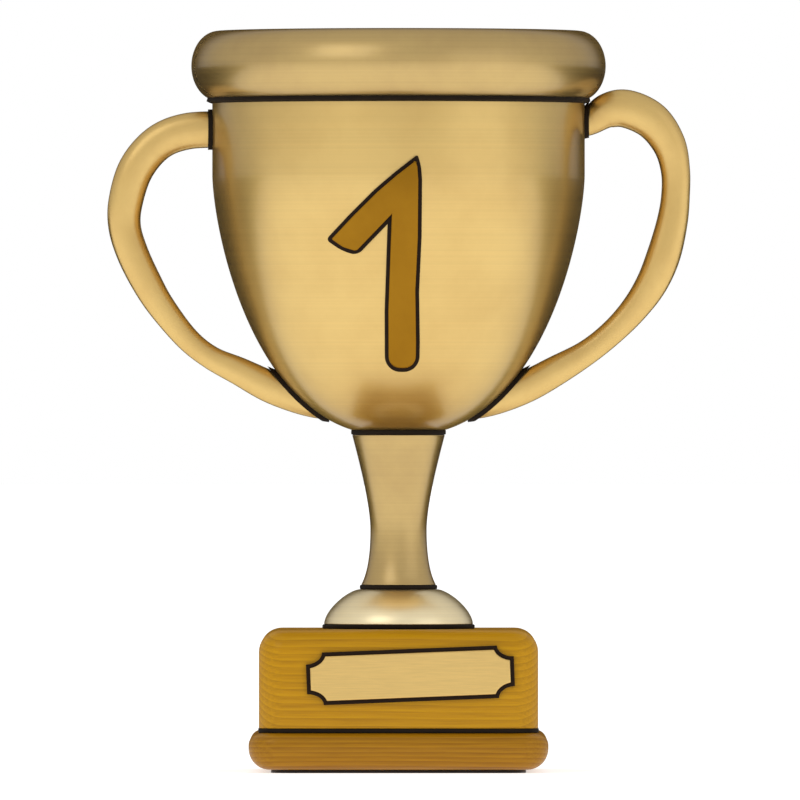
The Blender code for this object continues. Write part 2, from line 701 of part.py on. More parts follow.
def build_tie_rod(trophy):
    """The tie rod, with the parts that pull it down in the cup and up under the slab."""
    clamp_from = -BOWL_WALL - 2 * GAP
    clamp = bowl_dish(clamp_from - CLAMP_WASHER_THICKNESS, clamp_from, ROD_HOLE_RADIUS, CLAMP_WASHER_RADIUS)
    place("cup_clamp_washer", turned(clamp, STEM_TURN_STEPS), ZINC_STEEL, trophy, (0.0, 0.0, CUP_SEAT))

    nut_seat = CUP_SEAT - clamp_from + CLAMP_WASHER_THICKNESS + CLAMP_WASHER_RISE + GAP
    cap_nut = place("rod_cap_nut", hexagon(), POLISHED_BRASS, trophy, (0.0, 0.0, nut_seat))
    dome_from = NUT_HEIGHT - CUT_MARGIN
    dome_rise = CAP_NUT_HEIGHT - NUT_HEIGHT
    arc = [math.pi / 8 * step for step in range(4)]
    dome = [(CAP_NUT_DOME_RADIUS * math.cos(a), NUT_HEIGHT + dome_rise * math.sin(a)) for a in arc]
    dome_shape = turned(
        [(0.0, dome_from), (CAP_NUT_DOME_RADIUS, dome_from)] + dome + [(0.0, CAP_NUT_HEIGHT)], SMALL_STEPS
    )
    combine(cap_nut, as_helper(place("cap_nut_dome", dome_shape, POLISHED_BRASS, cap_nut)), "UNION")
    blind_depth = CAP_NUT_HEIGHT - CAP_NUT_CROWN
    blind = rod(ROD_RADIUS + GAP, -CUT_MARGIN, blind_depth)
    combine(cap_nut, as_helper(place("cap_nut_bore", blind, POLISHED_BRASS, cap_nut)), "DIFFERENCE")

    ceiling = SLAB_SEAT + COUNTERBORE_DEPTH
    washer_seat = ceiling - GAP - ROD_WASHER_THICKNESS
    place(
        "rod_washer",
        tube(ROD_HOLE_RADIUS, ROD_WASHER_RADIUS, 0.0, ROD_WASHER_THICKNESS, SMALL_STEPS),
        ZINC_STEEL,
        trophy,
        (0.0, 0.0, washer_seat),
    )
    spring_seat = washer_seat - GAP - ROD_WASHER_THICKNESS
    spring = place(
        "rod_spring_washer",
        tube(ROD_HOLE_RADIUS, SPRING_WASHER_RADIUS, 0.0, ROD_WASHER_THICKNESS, SMALL_STEPS),
        ZINC_STEEL,
        trophy,
        (0.0, 0.0, spring_seat),
    )
    split = bmesh.new()
    bmesh.ops.create_cube(split, size=1.0)
    bmesh.ops.scale(split, verts=split.verts, vec=(SPRING_WASHER_RADIUS, SPRING_WASHER_SPLIT, NUT_HEIGHT))
    bmesh.ops.translate(split, verts=split.verts, vec=(SPRING_WASHER_RADIUS, 0.0, 0.0))
    combine(spring, as_helper(place("spring_washer_split", split, ZINC_STEEL, spring)), "DIFFERENCE")

    nut_top = spring_seat - GAP
    nut = place("rod_nut", hexagon(), ZINC_STEEL, trophy, (0.0, 0.0, nut_top - NUT_HEIGHT))
    nut_bore = rod(ROD_RADIUS + GAP, -CUT_MARGIN, NUT_HEIGHT + CUT_MARGIN)
    combine(nut, as_helper(place("rod_nut_bore", nut_bore, ZINC_STEEL, nut)), "DIFFERENCE")

    rod_bottom = nut_top - NUT_HEIGHT - GAP
    rod_top = nut_seat + blind_depth - 2 * GAP
    place("tie_rod", rod(ROD_RADIUS, rod_bottom, rod_top), ZINC_STEEL, trophy)


def build_cup(cup):
    """The bowl, the rolled rim and the gaskets that they meet their neighbours with."""
    bowl = place("bowl", turned(bowl_shell(-BOWL_WALL, 0.0, LIP_HEIGHT), BIG_STEPS), GOLD_BRASS, cup)
    outside, inside = (rim_curve(inset, RIM_SLIT_DEG, RIM_STEPS) for inset in (0.0, RIM_WALL))
    place("rim_roll", turned(outside + inside[::-1], BIG_STEPS), DARK_BRASS, cup)

    rim_gasket = rim_curve(-GAP - GASKET, RIM_GASKET_DEG, RIM_GASKET_STEPS)
    rim_gasket += rim_curve(-GAP, RIM_GASKET_DEG, RIM_GASKET_STEPS)[::-1]
    place("rim_gasket", turned(rim_gasket, BIG_STEPS), BLACK_FIBRE, cup)

    seat = bowl_dish(GAP, GAP + GASKET, STEM_BORE_RADIUS, STEM_TOP_RADIUS + GAP)
    place("stem_top_gasket", turned(seat, STEM_TURN_STEPS), BLACK_FIBRE, cup)
    return bowl


def build_handle(side, frame, bowl):
    """One handle, the gaskets under its two feet, and the screws and washers that hold it to the bowl."""
    handle = place(f"handle_{side}", lofted(handle_sections(side, 0.0)), GOLD_BRASS, frame)
    core = turned([(0.0, LIP_HEIGHT)] + bowl_curve(JOINT, LIP_HEIGHT) + [(0.0, -JOINT)], BIG_STEPS)
    combine(handle, as_helper(place(f"handle_trim_{side}", core, GOLD_BRASS, frame)), "DIFFERENCE")

    upper_screw = UPPER_SCREW_HEIGHT[side]
    middle = (upper_screw + bowl_point(share_where(0, LOWER_SCREW_RADIUS)).y) / 2
    for foot in ("upper", "lower"):
        gasket = place(
            f"handle_gasket_{side}_{foot}",
            lofted(handle_sections(side, HANDLE_GASKET_MARGIN)),
            BLACK_FIBRE,
            frame,
        )
        band = turned(bowl_shell(GAP, GAP + GASKET, LIP_HEIGHT), BIG_STEPS)
        band_obj = as_helper(place(f"gasket_band_{side}_{foot}", band, BLACK_FIBRE, frame))
        combine(gasket, band_obj, "INTERSECT")
        low, high = (middle, LIP_HEIGHT) if foot == "upper" else (-JOINT, middle)
        half = rod(2 * BOWL_RADIUS, low, high, SMALL_STEPS)
        half_obj = as_helper(place(f"gasket_half_{side}_{foot}", half, BLACK_FIBRE, frame))
        combine(gasket, half_obj, "INTERSECT")

        if foot == "upper":
            wall_point = Vector((BOWL_RADIUS, upper_screw))
            outward = Vector((1.0, 0.0))
        else:
            share = share_where(0, LOWER_SCREW_RADIUS)
            wall_point = bowl_point(share)
            outward = (bowl_point(share, 1.0) - wall_point).normalized()
        inward = Vector((-outward.x, 0.0, -outward.y))

        def inside(distance, point=wall_point, out=outward):
            """The point this far in from the bowl's outside, along the screw's axis."""
            moved = point - out * distance
            return (moved.x, 0.0, moved.y)

        washer_seat = BOWL_WALL + WASHER_STANDOFF
        place(
            f"handle_washer_{side}_{foot}",
            tube(SCREW_RADIUS + GAP, WASHER_RADIUS, 0.0, WASHER_THICKNESS),
            POLISHED_BRASS,
            frame,
            inside(washer_seat),
            inward,
        )
        head_seat = washer_seat + WASHER_THICKNESS + GAP
        shank = head_seat + JOINT + SCREW_REACH
        screw_name = f"handle_screw_{side}_{foot}"
        screw = place(screw_name, pan_head_screw(shank), POLISHED_BRASS, frame, inside(head_seat), inward)
        combine(screw, screw_slot(f"slot_{side}_{foot}", frame, inside(head_seat), inward), "DIFFERENCE")
        hole = rod(SCREW_RADIUS + GAP, -shank - 2 * GAP, 0.0)
        drill = as_helper(
            place(f"drill_{side}_{foot}", hole, POLISHED_BRASS, frame, inside(head_seat), inward)
        )
        for part in (handle, gasket, bowl):
            combine(part, drill, "DIFFERENCE")


def build_numeral(cup, bowl):
    """The bronze numeral and its black backing plate, both curved to the bowl, and the numeral's studs."""
    backer_from, backer_to = GAP, GAP + BACKER_THICKNESS
    face_from, face_to = backer_to + GAP, backer_to + GAP + NUMERAL_THICKNESS
    backer = place("numeral_backer", numeral_prism(0.0), BLACK_ENAMEL, cup)
    numeral = place("numeral_one", numeral_prism(NUMERAL_BORDER), BRONZE, cup)
    for part, low, high in ((backer, backer_from, backer_to), (numeral, face_from, face_to)):
        band = turned(bowl_shell(low, high, LIP_HEIGHT), BIG_STEPS)
        combine(part, as_helper(place(f"{part.name}_band", band, BRONZE, cup)), "INTERSECT")

    for name, height in STUD_HEIGHTS.items():
        front = bowl_front(height, (face_from + face_to) / 2)
        nut_front = -bowl_radius_at(height - PUSH_NUT_RADIUS, -BOWL_WALL) + 2 * GAP
        stud_end = nut_front + PUSH_NUT_THICKNESS + STUD_PROUD
        stud = rod(STUD_RADIUS, 0.0, stud_end - front)
        forward = (0.0, 1.0, 0.0)
        origin = (STUD_ACROSS, front, height)
        combine(numeral, as_helper(place(f"stud_{name}", stud, BRONZE, cup, origin, forward)), "UNION")
        hole = rod(STUD_RADIUS + GAP, 0.0, stud_end - front + CUT_MARGIN)
        drill = as_helper(place(f"stud_hole_{name}", hole, BRONZE, cup, origin, forward))
        combine(backer, drill, "DIFFERENCE")
        combine(bowl, drill, "DIFFERENCE")
        place(
            f"numeral_push_nut_{name}",
            tube(STUD_RADIUS + GAP, PUSH_NUT_RADIUS, 0.0, PUSH_NUT_THICKNESS),
            ZINC_STEEL,
            cup,
            (STUD_ACROSS, nut_front, height),
            forward,
        )


def bowl_radius_at(height, offset=0.0):
    """The radius of the bowl's outside, moved out by offset, at this height."""
    if height >= BOWL_STRAIGHT_FROM:
        return BOWL_RADIUS + offset
    return bowl_point(share_where(1, height, offset), offset).x


def bowl_front(height, offset):
    """The bowl's surface in Y at this height and at the studs' distance from the middle."""
    return -math.sqrt(bowl_radius_at(height, offset) ** 2 - STUD_ACROSS**2)


for old in list(bpy.data.objects):
    bpy.data.objects.remove(old)

GOLD_BRASS = finish("gold_lacquered_brass", "#D7B56E", 0.38, 1.0)
DARK_BRASS = finish("dark_lacquered_brass", "#C3A66A", 0.40, 1.0)
PALE_BRASS = finish("pale_lacquered_brass", "#DBC594", 0.36, 1.0)
POLISHED_BRASS = finish("polished_brass", "#C9A657", 0.22, 1.0)
BRONZE = finish("cast_bronze", "#A2721D", 0.42, 1.0)
ZINC_STEEL = finish("zinc_plated_steel", "#B4B7BA", 0.35, 1.0)
HONEY_WOOD = finish("honey_stained_wood", "#B98716", 0.35, 0.0)
BROWN_WOOD = finish("brown_stained_wood", "#A2721D", 0.35, 0.0)
BLACK_FIBRE = finish("black_fibre", "#241C18", 0.75, 0.0)
BLACK_ENAMEL = finish("black_enamel", "#1E1815", 0.30, 0.0)
BLACK_FOAM = finish("black_foam_tape", "#2B2826", 0.90, 0.0)
BLACK_BAIZE = finish("black_baize", "#1E1C1B", 0.95, 0.0)

trophy_frame = empty("trophy")
cup_frame = empty("cup", trophy_frame, CUP_SEAT)
build_stack(trophy_frame)
build_name_plate(trophy_frame)
build_tie_rod(trophy_frame)
bowl_part = build_cup(cup_frame)
for side_name, side_turn in SIDES:
    side_frame = empty(f"{side_name}_side", cup_frame, turn=side_turn)
    build_handle(side_name, side_frame, bowl_part)
build_numeral(cup_frame, bowl_part)
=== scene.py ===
# %% [markdown]
# # A cup trophy, from the lathe to the plinth
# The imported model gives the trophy's parts as plain facets. Here each visible part is made again with a
# fine surface and a finish of its own: spun brass, cast bronze, varnished wood, enamel, fibre and felt.
# Everything is in metres, with +Z up, the front facing -Y, and the middle of the underside at the origin.

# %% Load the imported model
import math

import bmesh
import bpy
from mathutils import Matrix, Vector


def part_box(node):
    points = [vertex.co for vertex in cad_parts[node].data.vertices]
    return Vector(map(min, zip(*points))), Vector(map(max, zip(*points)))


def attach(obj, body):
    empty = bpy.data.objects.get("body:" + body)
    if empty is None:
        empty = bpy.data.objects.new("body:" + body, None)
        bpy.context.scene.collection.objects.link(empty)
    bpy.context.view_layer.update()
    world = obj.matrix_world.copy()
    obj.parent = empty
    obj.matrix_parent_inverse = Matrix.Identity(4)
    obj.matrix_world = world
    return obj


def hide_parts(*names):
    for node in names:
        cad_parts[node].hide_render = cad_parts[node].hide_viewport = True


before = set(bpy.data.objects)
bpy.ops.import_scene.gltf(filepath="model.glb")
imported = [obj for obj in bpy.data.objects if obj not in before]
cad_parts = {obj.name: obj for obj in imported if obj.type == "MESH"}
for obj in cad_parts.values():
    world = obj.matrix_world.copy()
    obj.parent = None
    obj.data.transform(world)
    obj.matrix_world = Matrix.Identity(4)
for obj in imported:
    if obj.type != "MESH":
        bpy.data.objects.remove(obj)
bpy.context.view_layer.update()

# %% [markdown]
# ## Measures
# Each part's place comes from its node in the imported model, so nothing is fitted by eye. A few curves
# can't be read from a box, such as the bowl's belly and the line of the handles. Those are written out
# again here.

# %% Where the parts stand
MM = 0.001
cup_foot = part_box("bowl")[0].z
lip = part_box("bowl")[1].z
bowl_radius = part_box("bowl")[1].x
slab_low, slab_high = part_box("base_slab")
block_low, block_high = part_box("plinth_block")
dome_low, dome_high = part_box("dome_foot")
stem_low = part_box("stem")[0]
joint = block_low.z - slab_high.z
print("cup stands at", round(cup_foot / MM, 1), "mm, bowl radius", round(bowl_radius / MM, 1), "mm")

# %% [markdown]
# ## Colours and nodes
# A colour is chosen as it looks on a screen, as a hex value, and Blender wants linear light, so one
# function turns the one into the other. Materials are small node trees. One helper adds a node, sets what
# is given by name, and links the rest, so that each tree reads from top to bottom.

# %% Helpers for materials
def colour(hex_value):
    """A screen colour as linear light, with full alpha."""
    channels = [int(hex_value[i : i + 2], 16) / 255 for i in (1, 3, 5)]
    return [c / 12.92 if c <= 0.04045 else ((c + 0.055) / 1.055) ** 2.4 for c in channels] + [1.0]


def add(tree, kind, settings=None, **links):
    """Adds a node, sets its properties or inputs, and links its inputs to other nodes' outputs."""
    node = tree.nodes.new("ShaderNode" + kind)
    for name, value in (settings or {}).items():
        if isinstance(name, int) or name in node.inputs:
            node.inputs[name].default_value = value
        else:
            setattr(node, name, value)
    for name, source in links.items():
        key = int(name[1:]) if name[1:].isdigit() else name.replace("_", " ")
        tree.links.new(source, node.inputs[key])
    return node


def start_material(name, settings):
    """Starts a material with fixed values set. Returns the material, its tree and the shader."""
    material = bpy.data.materials.new(name)
    material.use_nodes = True
    shader = material.node_tree.nodes["Principled BSDF"]
    for socket, value in settings.items():
        shader.inputs[socket].default_value = value
    return material, material.node_tree, shader


# %% [markdown]
# ## Spun brass under lacquer
# The cup, its rim, the stem and the foot are brass, turned or spun on a lathe, so a tool has left fine
# rings round the axis. The rings could be a picture or real grooves. Noise that reads only the distance
# from the axis and the height is simpler, and it can't show a seam. Real tool marks are 0.1 mm apart.
# They are drawn about 1 mm apart here, because finer ones would blur to nothing at this size. A thin
# lacquer gives a second, clearer shine, and patches of slightly darker metal show where it has been
# handled. Where the surface turns away, old lacquer looks brown, and the edge tint darkens it there like
# the line round a drawing.

# %% Spun brass
EDGE_TINT = "#2A180A"


def spun_brass(name, base, dark, roughness, ring_mm=1.0):
    """Lacquered brass with rings round the Z axis. base is the clean metal, dark the tarnished one."""
    lacquer = {"Coat Weight": 0.8, "Coat Roughness": 0.2, "Specular Tint": colour(EDGE_TINT)}
    material, tree, shader = start_material(name, {"Metallic": 1.0, **lacquer})
    place = add(tree, "TexCoord").outputs["Object"]
    axes = add(tree, "SeparateXYZ", Vector=place)
    flat = add(tree, "CombineXYZ", X=axes.outputs["X"], Y=axes.outputs["Y"])
    out = add(tree, "VectorMath", {"operation": "LENGTH"}, _0=flat.outputs[0]).outputs["Value"]
    ring_place = add(tree, "CombineXYZ", X=out, Y=axes.outputs["Z"])
    rings = add(
        tree,
        "TexNoise",
        {"noise_dimensions": "2D", "Scale": 1 / (ring_mm * MM), "Detail": 4.0, "Roughness": 0.65},
        Vector=ring_place.outputs[0],
    ).outputs[0]
    patches = add(
        tree, "TexNoise", {"Scale": 28.0, "Detail": 5.0, "Roughness": 0.6}, Vector=place
    ).outputs[0]
    scuffs = add(
        tree, "TexNoise", {"Scale": 420.0, "Detail": 2.0, "Distortion": 1.5}, Vector=place
    ).outputs[0]
    tarnish = add(
        tree, "MapRange", {"From Min": 0.42, "From Max": 0.78, "To Min": 0.0, "To Max": 0.55}, Value=patches
    ).outputs[0]
    metal = add(tree, "Mix", {"data_type": "RGBA", 6: colour(base), 7: colour(dark)}, _0=tarnish).outputs[2]
    shade = add(
        tree, "MapRange", {"From Min": 0.3, "From Max": 0.7, "To Min": 0.955, "To Max": 1.03}, Value=rings
    ).outputs[0]
    tint = add(tree, "VectorMath", {"operation": "SCALE"}, _0=metal, Scale=shade).outputs[0]
    tree.links.new(tint, shader.inputs["Base Color"])
    worn = add(
        tree, "MapRange", {"To Min": roughness - 0.07, "To Max": roughness + 0.09}, Value=patches
    ).outputs[0]
    ringed = add(tree, "MapRange", {"To Min": -0.05, "To Max": 0.05}, Value=rings).outputs[0]
    rough = add(tree, "Math", {"operation": "ADD"}, _0=worn, _1=ringed).outputs[0]
    tree.links.new(rough, shader.inputs["Roughness"])
    height = add(tree, "Math", {"operation": "MULTIPLY_ADD", 1: 0.25}, _0=scuffs, _2=rings).outputs[0]
    bump = add(tree, "Bump", {"Strength": 0.22, "Distance": 0.05 * MM}, Height=height)
    tree.links.new(bump.outputs[0], shader.inputs["Normal"])
    return material


gold_brass = spun_brass("spun_gold_brass", "#D8B76E", "#C7A25B", 0.38)
umber_brass = spun_brass("spun_umber_brass", "#C4A667", "#AC8D58", 0.38, 0.8)
pale_brass = spun_brass("spun_pale_brass", "#FFEDC0", "#F0DAA6", 0.36, 0.8)
print("spun brass:", gold_brass.name, umber_brass.name, pale_brass.name)

# %% [markdown]
# ## Cast brass and bronze
# The handles and the numeral are poured into sand, filed and rubbed satin. Up close the skin is faintly
# lumpy, with short scratches that run no particular way, and the low spots keep a browner colour. So the
# pattern is an even noise in all directions, in two sizes: lumps of about 3 mm and grit of about 0.6 mm.

# %% Cast metal
def cast_metal(name, base, low, roughness, coat):
    """A satin casting: base is the rubbed metal, low the colour in its hollows, coat the lacquer."""
    lacquer = {"Coat Weight": coat, "Coat Roughness": 0.2, "Specular Tint": colour(EDGE_TINT)}
    material, tree, shader = start_material(name, {"Metallic": 1.0, **lacquer})
    place = add(tree, "TexCoord").outputs["Object"]
    lumps = add(tree, "TexNoise", {"Scale": 1 / (3 * MM), "Detail": 3.0}, Vector=place).outputs[0]
    grit = add(tree, "TexNoise", {"Scale": 1 / (0.6 * MM), "Detail": 2.0}, Vector=place).outputs[0]
    clouds = add(tree, "TexNoise", {"Scale": 45.0, "Detail": 4.0}, Vector=place).outputs[0]
    hollow = add(
        tree, "MapRange", {"From Min": 0.62, "From Max": 0.30, "To Min": 0.0, "To Max": 0.5}, Value=clouds
    ).outputs[0]
    metal = add(tree, "Mix", {"data_type": "RGBA", 6: colour(base), 7: colour(low)}, _0=hollow).outputs[2]
    tree.links.new(metal, shader.inputs["Base Color"])
    rough = add(
        tree, "MapRange", {"To Min": roughness - 0.08, "To Max": roughness + 0.1}, Value=lumps
    ).outputs[0]
    tree.links.new(rough, shader.inputs["Roughness"])
    height = add(tree, "Math", {"operation": "MULTIPLY_ADD", 1: 0.12}, _0=grit, _2=lumps).outputs[0]
    bump = add(tree, "Bump", {"Strength": 0.14, "Distance": 0.06 * MM}, Height=height)
    tree.links.new(bump.outputs[0], shader.inputs["Normal"])
    return material


handle_brass = cast_metal("cast_gold_brass", "#D8B66E", "#C8A25D", 0.38, 0.6)
numeral_bronze = cast_metal("cast_bronze", "#9A6D15", "#895E0D", 0.42, 0.1)
print("cast metal:", handle_brass.name, numeral_bronze.name)

# %% [markdown]
# ## Brushed plate and bright hardware
# The name plate is sheet brass that has been drawn under an abrasive belt, so its scratches are long and
# run across. A noise that is squeezed hard in height and stretched in width gives just that. The screws,
# washers and nuts are bought parts: bright brass inside the cup, and zinc-plated steel where nobody
# looks.

# %% Plate brass, bright brass and zinc
def drawn_metal(name, base, roughness, stretch, strength, coat=0.0):
    """A metal scratched along one axis. stretch is the number of marks per metre along X, Y and Z."""
    settings = {"Metallic": 1.0, "Coat Weight": coat, "Coat Roughness": 0.12}
    material, tree, shader = start_material(name, settings)
    place = add(tree, "TexCoord").outputs["Object"]
    pulled = add(tree, "Mapping", {"Scale": stretch}, Vector=place).outputs[0]
    marks = add(tree, "TexNoise", {"Scale": 1.0, "Detail": 4.0, "Roughness": 0.7}, Vector=pulled).outputs[0]
    clouds = add(tree, "TexNoise", {"Scale": 60.0, "Detail": 3.0}, Vector=place).outputs[0]
    gain = add(
        tree, "MapRange", {"From Min": 0.25, "From Max": 0.75, "To Min": 0.87, "To Max": 1.05}, Value=marks
    ).outputs[0]
    tint = add(tree, "VectorMath", {"operation": "SCALE", 0: colour(base)[:3]}, Scale=gain).outputs[0]
    tree.links.new(tint, shader.inputs["Base Color"])
    blend = add(tree, "Math", {"operation": "MULTIPLY_ADD", 1: 0.5}, _0=clouds, _2=marks).outputs[0]
    rough = add(
        tree,
        "MapRange",
        {"From Max": 1.5, "To Min": roughness - 0.08, "To Max": roughness + 0.08},
        Value=blend,
    ).outputs[0]
    tree.links.new(rough, shader.inputs["Roughness"])
    bump = add(tree, "Bump", {"Strength": strength, "Distance": 0.03 * MM}, Height=marks)
    tree.links.new(bump.outputs[0], shader.inputs["Normal"])
    return material


plate_brass = drawn_metal("brushed_plate_brass", "#DCBA73", 0.36, (90.0, 900.0, 2200.0), 0.35, 0.2)
bright_brass = drawn_metal("bright_brass", "#C9A657", 0.22, (700.0, 700.0, 700.0), 0.15)
zinc_steel = drawn_metal("zinc_plated_steel", "#B4B7BA", 0.34, (500.0, 500.0, 900.0), 0.25)
print("drawn metal:", plate_brass.name, bright_brass.name, zinc_steel.name)

# %% [markdown]
# ## Stained and varnished wood
# The plinth and the slab are a close-grained hardwood such as beech, stained and then varnished. Growth
# rings are cylinders round the trunk's heart, which lies along X here and some way below the block. Sawn
# through, they show as long stripes on the front and as arcs on the ends. Rings of about 2.4 mm, fine
# fibres along X and small dark pores make up the figure. The varnish is the shader's coat, smoother than
# the wood below it.

# %% Wood
def varnished_wood(name, light, base, dark, heart, ring_mm=2.4):
    """Wood whose grain runs along X. heart is a point on the trunk's middle line, in metres."""
    material, tree, shader = start_material(
        name, {"Coat Weight": 0.2, "Coat Roughness": 0.18, "Specular IOR Level": 0.1}
    )
    place = add(tree, "TexCoord").outputs["Object"]
    moved = add(tree, "Mapping", {"Location": [-c for c in heart]}, Vector=place).outputs[0]
    sway = add(tree, "Mapping", {"Scale": (4.0, 14.0, 14.0)}, Vector=place).outputs[0]
    warp = add(tree, "TexNoise", {"Scale": 1.0, "Detail": 1.0}, Vector=sway).outputs[1]
    shift = add(tree, "VectorMath", {"operation": "SCALE", "Scale": 9 * MM}, _0=warp).outputs[0]
    bent = add(tree, "VectorMath", {"operation": "ADD"}, _0=moved, _1=shift).outputs[0]
    drawn_out = add(tree, "Mapping", {"Scale": (0.1, 1.0, 1.0)}, Vector=bent).outputs[0]
    rings = add(
        tree,
        "TexWave",
        {
            "wave_type": "RINGS",
            "rings_direction": "X",
            "wave_profile": "SAW",
            "Scale": 0.314 / (ring_mm * MM),
            "Distortion": 1.6,
            "Detail": 3.0,
            "Detail Scale": 0.5,
        },
        Vector=drawn_out,
    ).outputs["Fac"]
    long_way = add(tree, "Mapping", {"Scale": (35.0, 1400.0, 1400.0)}, Vector=bent).outputs[0]
    fibres = add(
        tree, "TexNoise", {"Scale": 1.0, "Detail": 4.0, "Roughness": 0.6}, Vector=long_way
    ).outputs[0]
    pore_way = add(tree, "Mapping", {"Scale": (160.0, 2600.0, 2600.0)}, Vector=bent).outputs[0]
    pore_noise = add(tree, "TexNoise", {"Scale": 1.0, "Detail": 1.0}, Vector=pore_way).outputs[0]
    pores = add(
        tree, "MapRange", {"From Min": 0.66, "From Max": 0.76, "To Max": 0.45}, Value=pore_noise
    ).outputs[0]
    figure = add(tree, "Math", {"operation": "MULTIPLY_ADD", 1: 0.45}, _0=rings, _2=fibres).outputs[0]
    ramp = add(tree, "ValToRGB", Fac=figure)
    stops = ramp.color_ramp.elements
    stops[0].position, stops[0].color = 0.42, colour(light)
    stops[1].position, stops[1].color = 1.02, colour(dark)
    middle = stops.new(0.70)
    middle.color = colour(base)
    wood = add(
        tree, "Mix", {"data_type": "RGBA", 7: colour(dark)}, _0=pores, _6=ramp.outputs[0]
    ).outputs[2]
    tree.links.new(wood, shader.inputs["Base Color"])
    rough = add(tree, "MapRange", {"To Min": 0.36, "To Max": 0.52}, Value=fibres).outputs[0]
    tree.links.new(rough, shader.inputs["Roughness"])
    bump = add(tree, "Bump", {"Strength": 0.12, "Distance": 0.05 * MM}, Height=figure)
    tree.links.new(bump.outputs[0], shader.inputs["Normal"])
    return material


honey_wood = varnished_wood("honey_stained_wood", "#C28F04", "#B98503", "#A87702", (0.0, 0.03, -0.09))
brown_wood = varnished_wood("brown_stained_wood", "#AA770C", "#9E6D08", "#8D5D05", (0.0, -0.05, -0.12), 2.0)
print("wood:", honey_wood.name, brown_wood.name)

# %% [markdown]
# ## Enamel, fibre, felt and foam
# The numeral and the name plate stand on thin plates of black stoved enamel: glossy, with a faint
# orange-peel ripple. The gaskets between the parts are vulcanised fibre, matte and a little mottled. The
# underside is covered in dark wool felt, whose loose fibres catch the light at the edges, which is what
# sheen is for.

# %% Enamel, fibre, felt and foam
def mottled(name, base, other, settings, grain_mm, strength, roughness):
    """A non-metal with an even grain, whose colour varies from base to other."""
    material, tree, shader = start_material(name, settings)
    place = add(tree, "TexCoord").outputs["Object"]
    grain = add(
        tree, "TexNoise", {"Scale": 1 / (grain_mm * MM), "Detail": 4.0, "Roughness": 0.6}, Vector=place
    ).outputs[0]
    clouds = add(tree, "TexNoise", {"Scale": 70.0, "Detail": 2.0}, Vector=place).outputs[0]
    share = add(tree, "Math", {"operation": "MULTIPLY"}, _0=grain, _1=clouds).outputs[0]
    spread = add(tree, "MapRange", {"From Min": 0.1, "From Max": 0.45}, Value=share).outputs[0]
    tint = add(tree, "Mix", {"data_type": "RGBA", 6: colour(base), 7: colour(other)}, _0=spread).outputs[2]
    tree.links.new(tint, shader.inputs["Base Color"])
    rough = add(tree, "MapRange", {"To Min": roughness[0], "To Max": roughness[1]}, Value=grain).outputs[0]
    tree.links.new(rough, shader.inputs["Roughness"])
    bump = add(tree, "Bump", {"Strength": strength, "Distance": 0.1 * MM}, Height=grain)
    tree.links.new(bump.outputs[0], shader.inputs["Normal"])
    return material


enamel = mottled(
    "black_stoved_enamel", "#1E1208", "#24170C", {"Specular IOR Level": 0.08}, 2.5, 0.06, (0.3, 0.42)
)
fibre = mottled(
    "black_vulcanised_fibre", "#160F08", "#231A11", {"Specular IOR Level": 0.12}, 0.7, 0.4, (0.62, 0.85)
)
wool = {"Sheen Weight": 0.5, "Sheen Roughness": 0.5, "Specular IOR Level": 0.2}
felt = mottled("dark_wool_felt", "#171514", "#2A2624", wool, 0.35, 1.0, (0.85, 1.0))
foam = mottled("black_foam_tape", "#232120", "#2F2C2A", {"Specular IOR Level": 0.2}, 0.4, 0.6, (0.8, 0.95))
print("non-metals:", enamel.name, fibre.name, felt.name, foam.name)

# %% [markdown]
# ## Helpers for making and placing a piece
# Every piece starts as a bmesh. When it is done it becomes an object that sits at the origin, with its
# place in its mesh, and rides on the trophy's one body. A turned piece is the outline of one side, spun
# round Z. Edges sharper than an angle can be rounded over, because no real edge is perfectly sharp and a
# rounded one catches light. Where one shape trims another, an exact Boolean does it.

# %% Helpers for pieces
SMOOTH_UNDER = math.radians(32)  # faces that meet at less than this are shaded as one surface


def placed(name, data):
    """A new object in the scene."""
    thing = bpy.data.objects.new(name, data)
    bpy.context.scene.collection.objects.link(thing)
    return thing


def finish_piece(name, shape, material, slot, nodes=()):
    """Turns a bmesh into a piece that stands in for CAD nodes, with round parts shaded smooth."""
    mesh = bpy.data.meshes.new(name)
    shape.to_mesh(mesh)
    shape.free()
    mesh.materials.append(material)
    mesh.shade_smooth()
    mesh.set_sharp_from_angle(angle=SMOOTH_UNDER)
    piece = placed(name, mesh)
    if slot:
        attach(piece, "root")
        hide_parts(*nodes)
        print(name, len(mesh.polygons), "faces")
    return piece


def spun(outline, steps=192):
    """Spins an outline of (radius, height) points round Z. One that starts on the axis makes a solid."""
    shape = bmesh.new()
    points = [shape.verts.new((radius, 0.0, height)) for radius, height in outline]
    pairs = list(zip(points, points[1:]))
    if outline[0][0] > 1e-7:
        pairs.append((points[-1], points[0]))
    lines = [shape.edges.new(pair) for pair in pairs]
    bmesh.ops.spin(
        shape, geom=points + lines, axis=(0, 0, 1), angle=math.tau, steps=steps, use_merge=True
    )
    bmesh.ops.remove_doubles(shape, verts=shape.verts, dist=1e-7)
    bmesh.ops.recalc_face_normals(shape, faces=shape.faces)
    return shape


def bevel(shape, chosen, offset, segments, affect="EDGES"):
    """Rounds the chosen edges or corners."""
    bmesh.ops.bevel(
        shape, geom=chosen, offset=offset, affect=affect, segments=segments, profile=0.5, material=-1
    )
    return shape


def round_over(shape, offset, angle=35.0, segments=3, keep=None):
    """Rounds the edges that are sharper than angle, or of those only the ones that keep accepts."""
    shape.normal_update()
    sharp = [e for e in shape.edges if len(e.link_faces) == 2 and e.calc_face_angle() > math.radians(angle)]
    return bevel(shape, [e for e in sharp if keep is None or keep(e)], offset, segments)


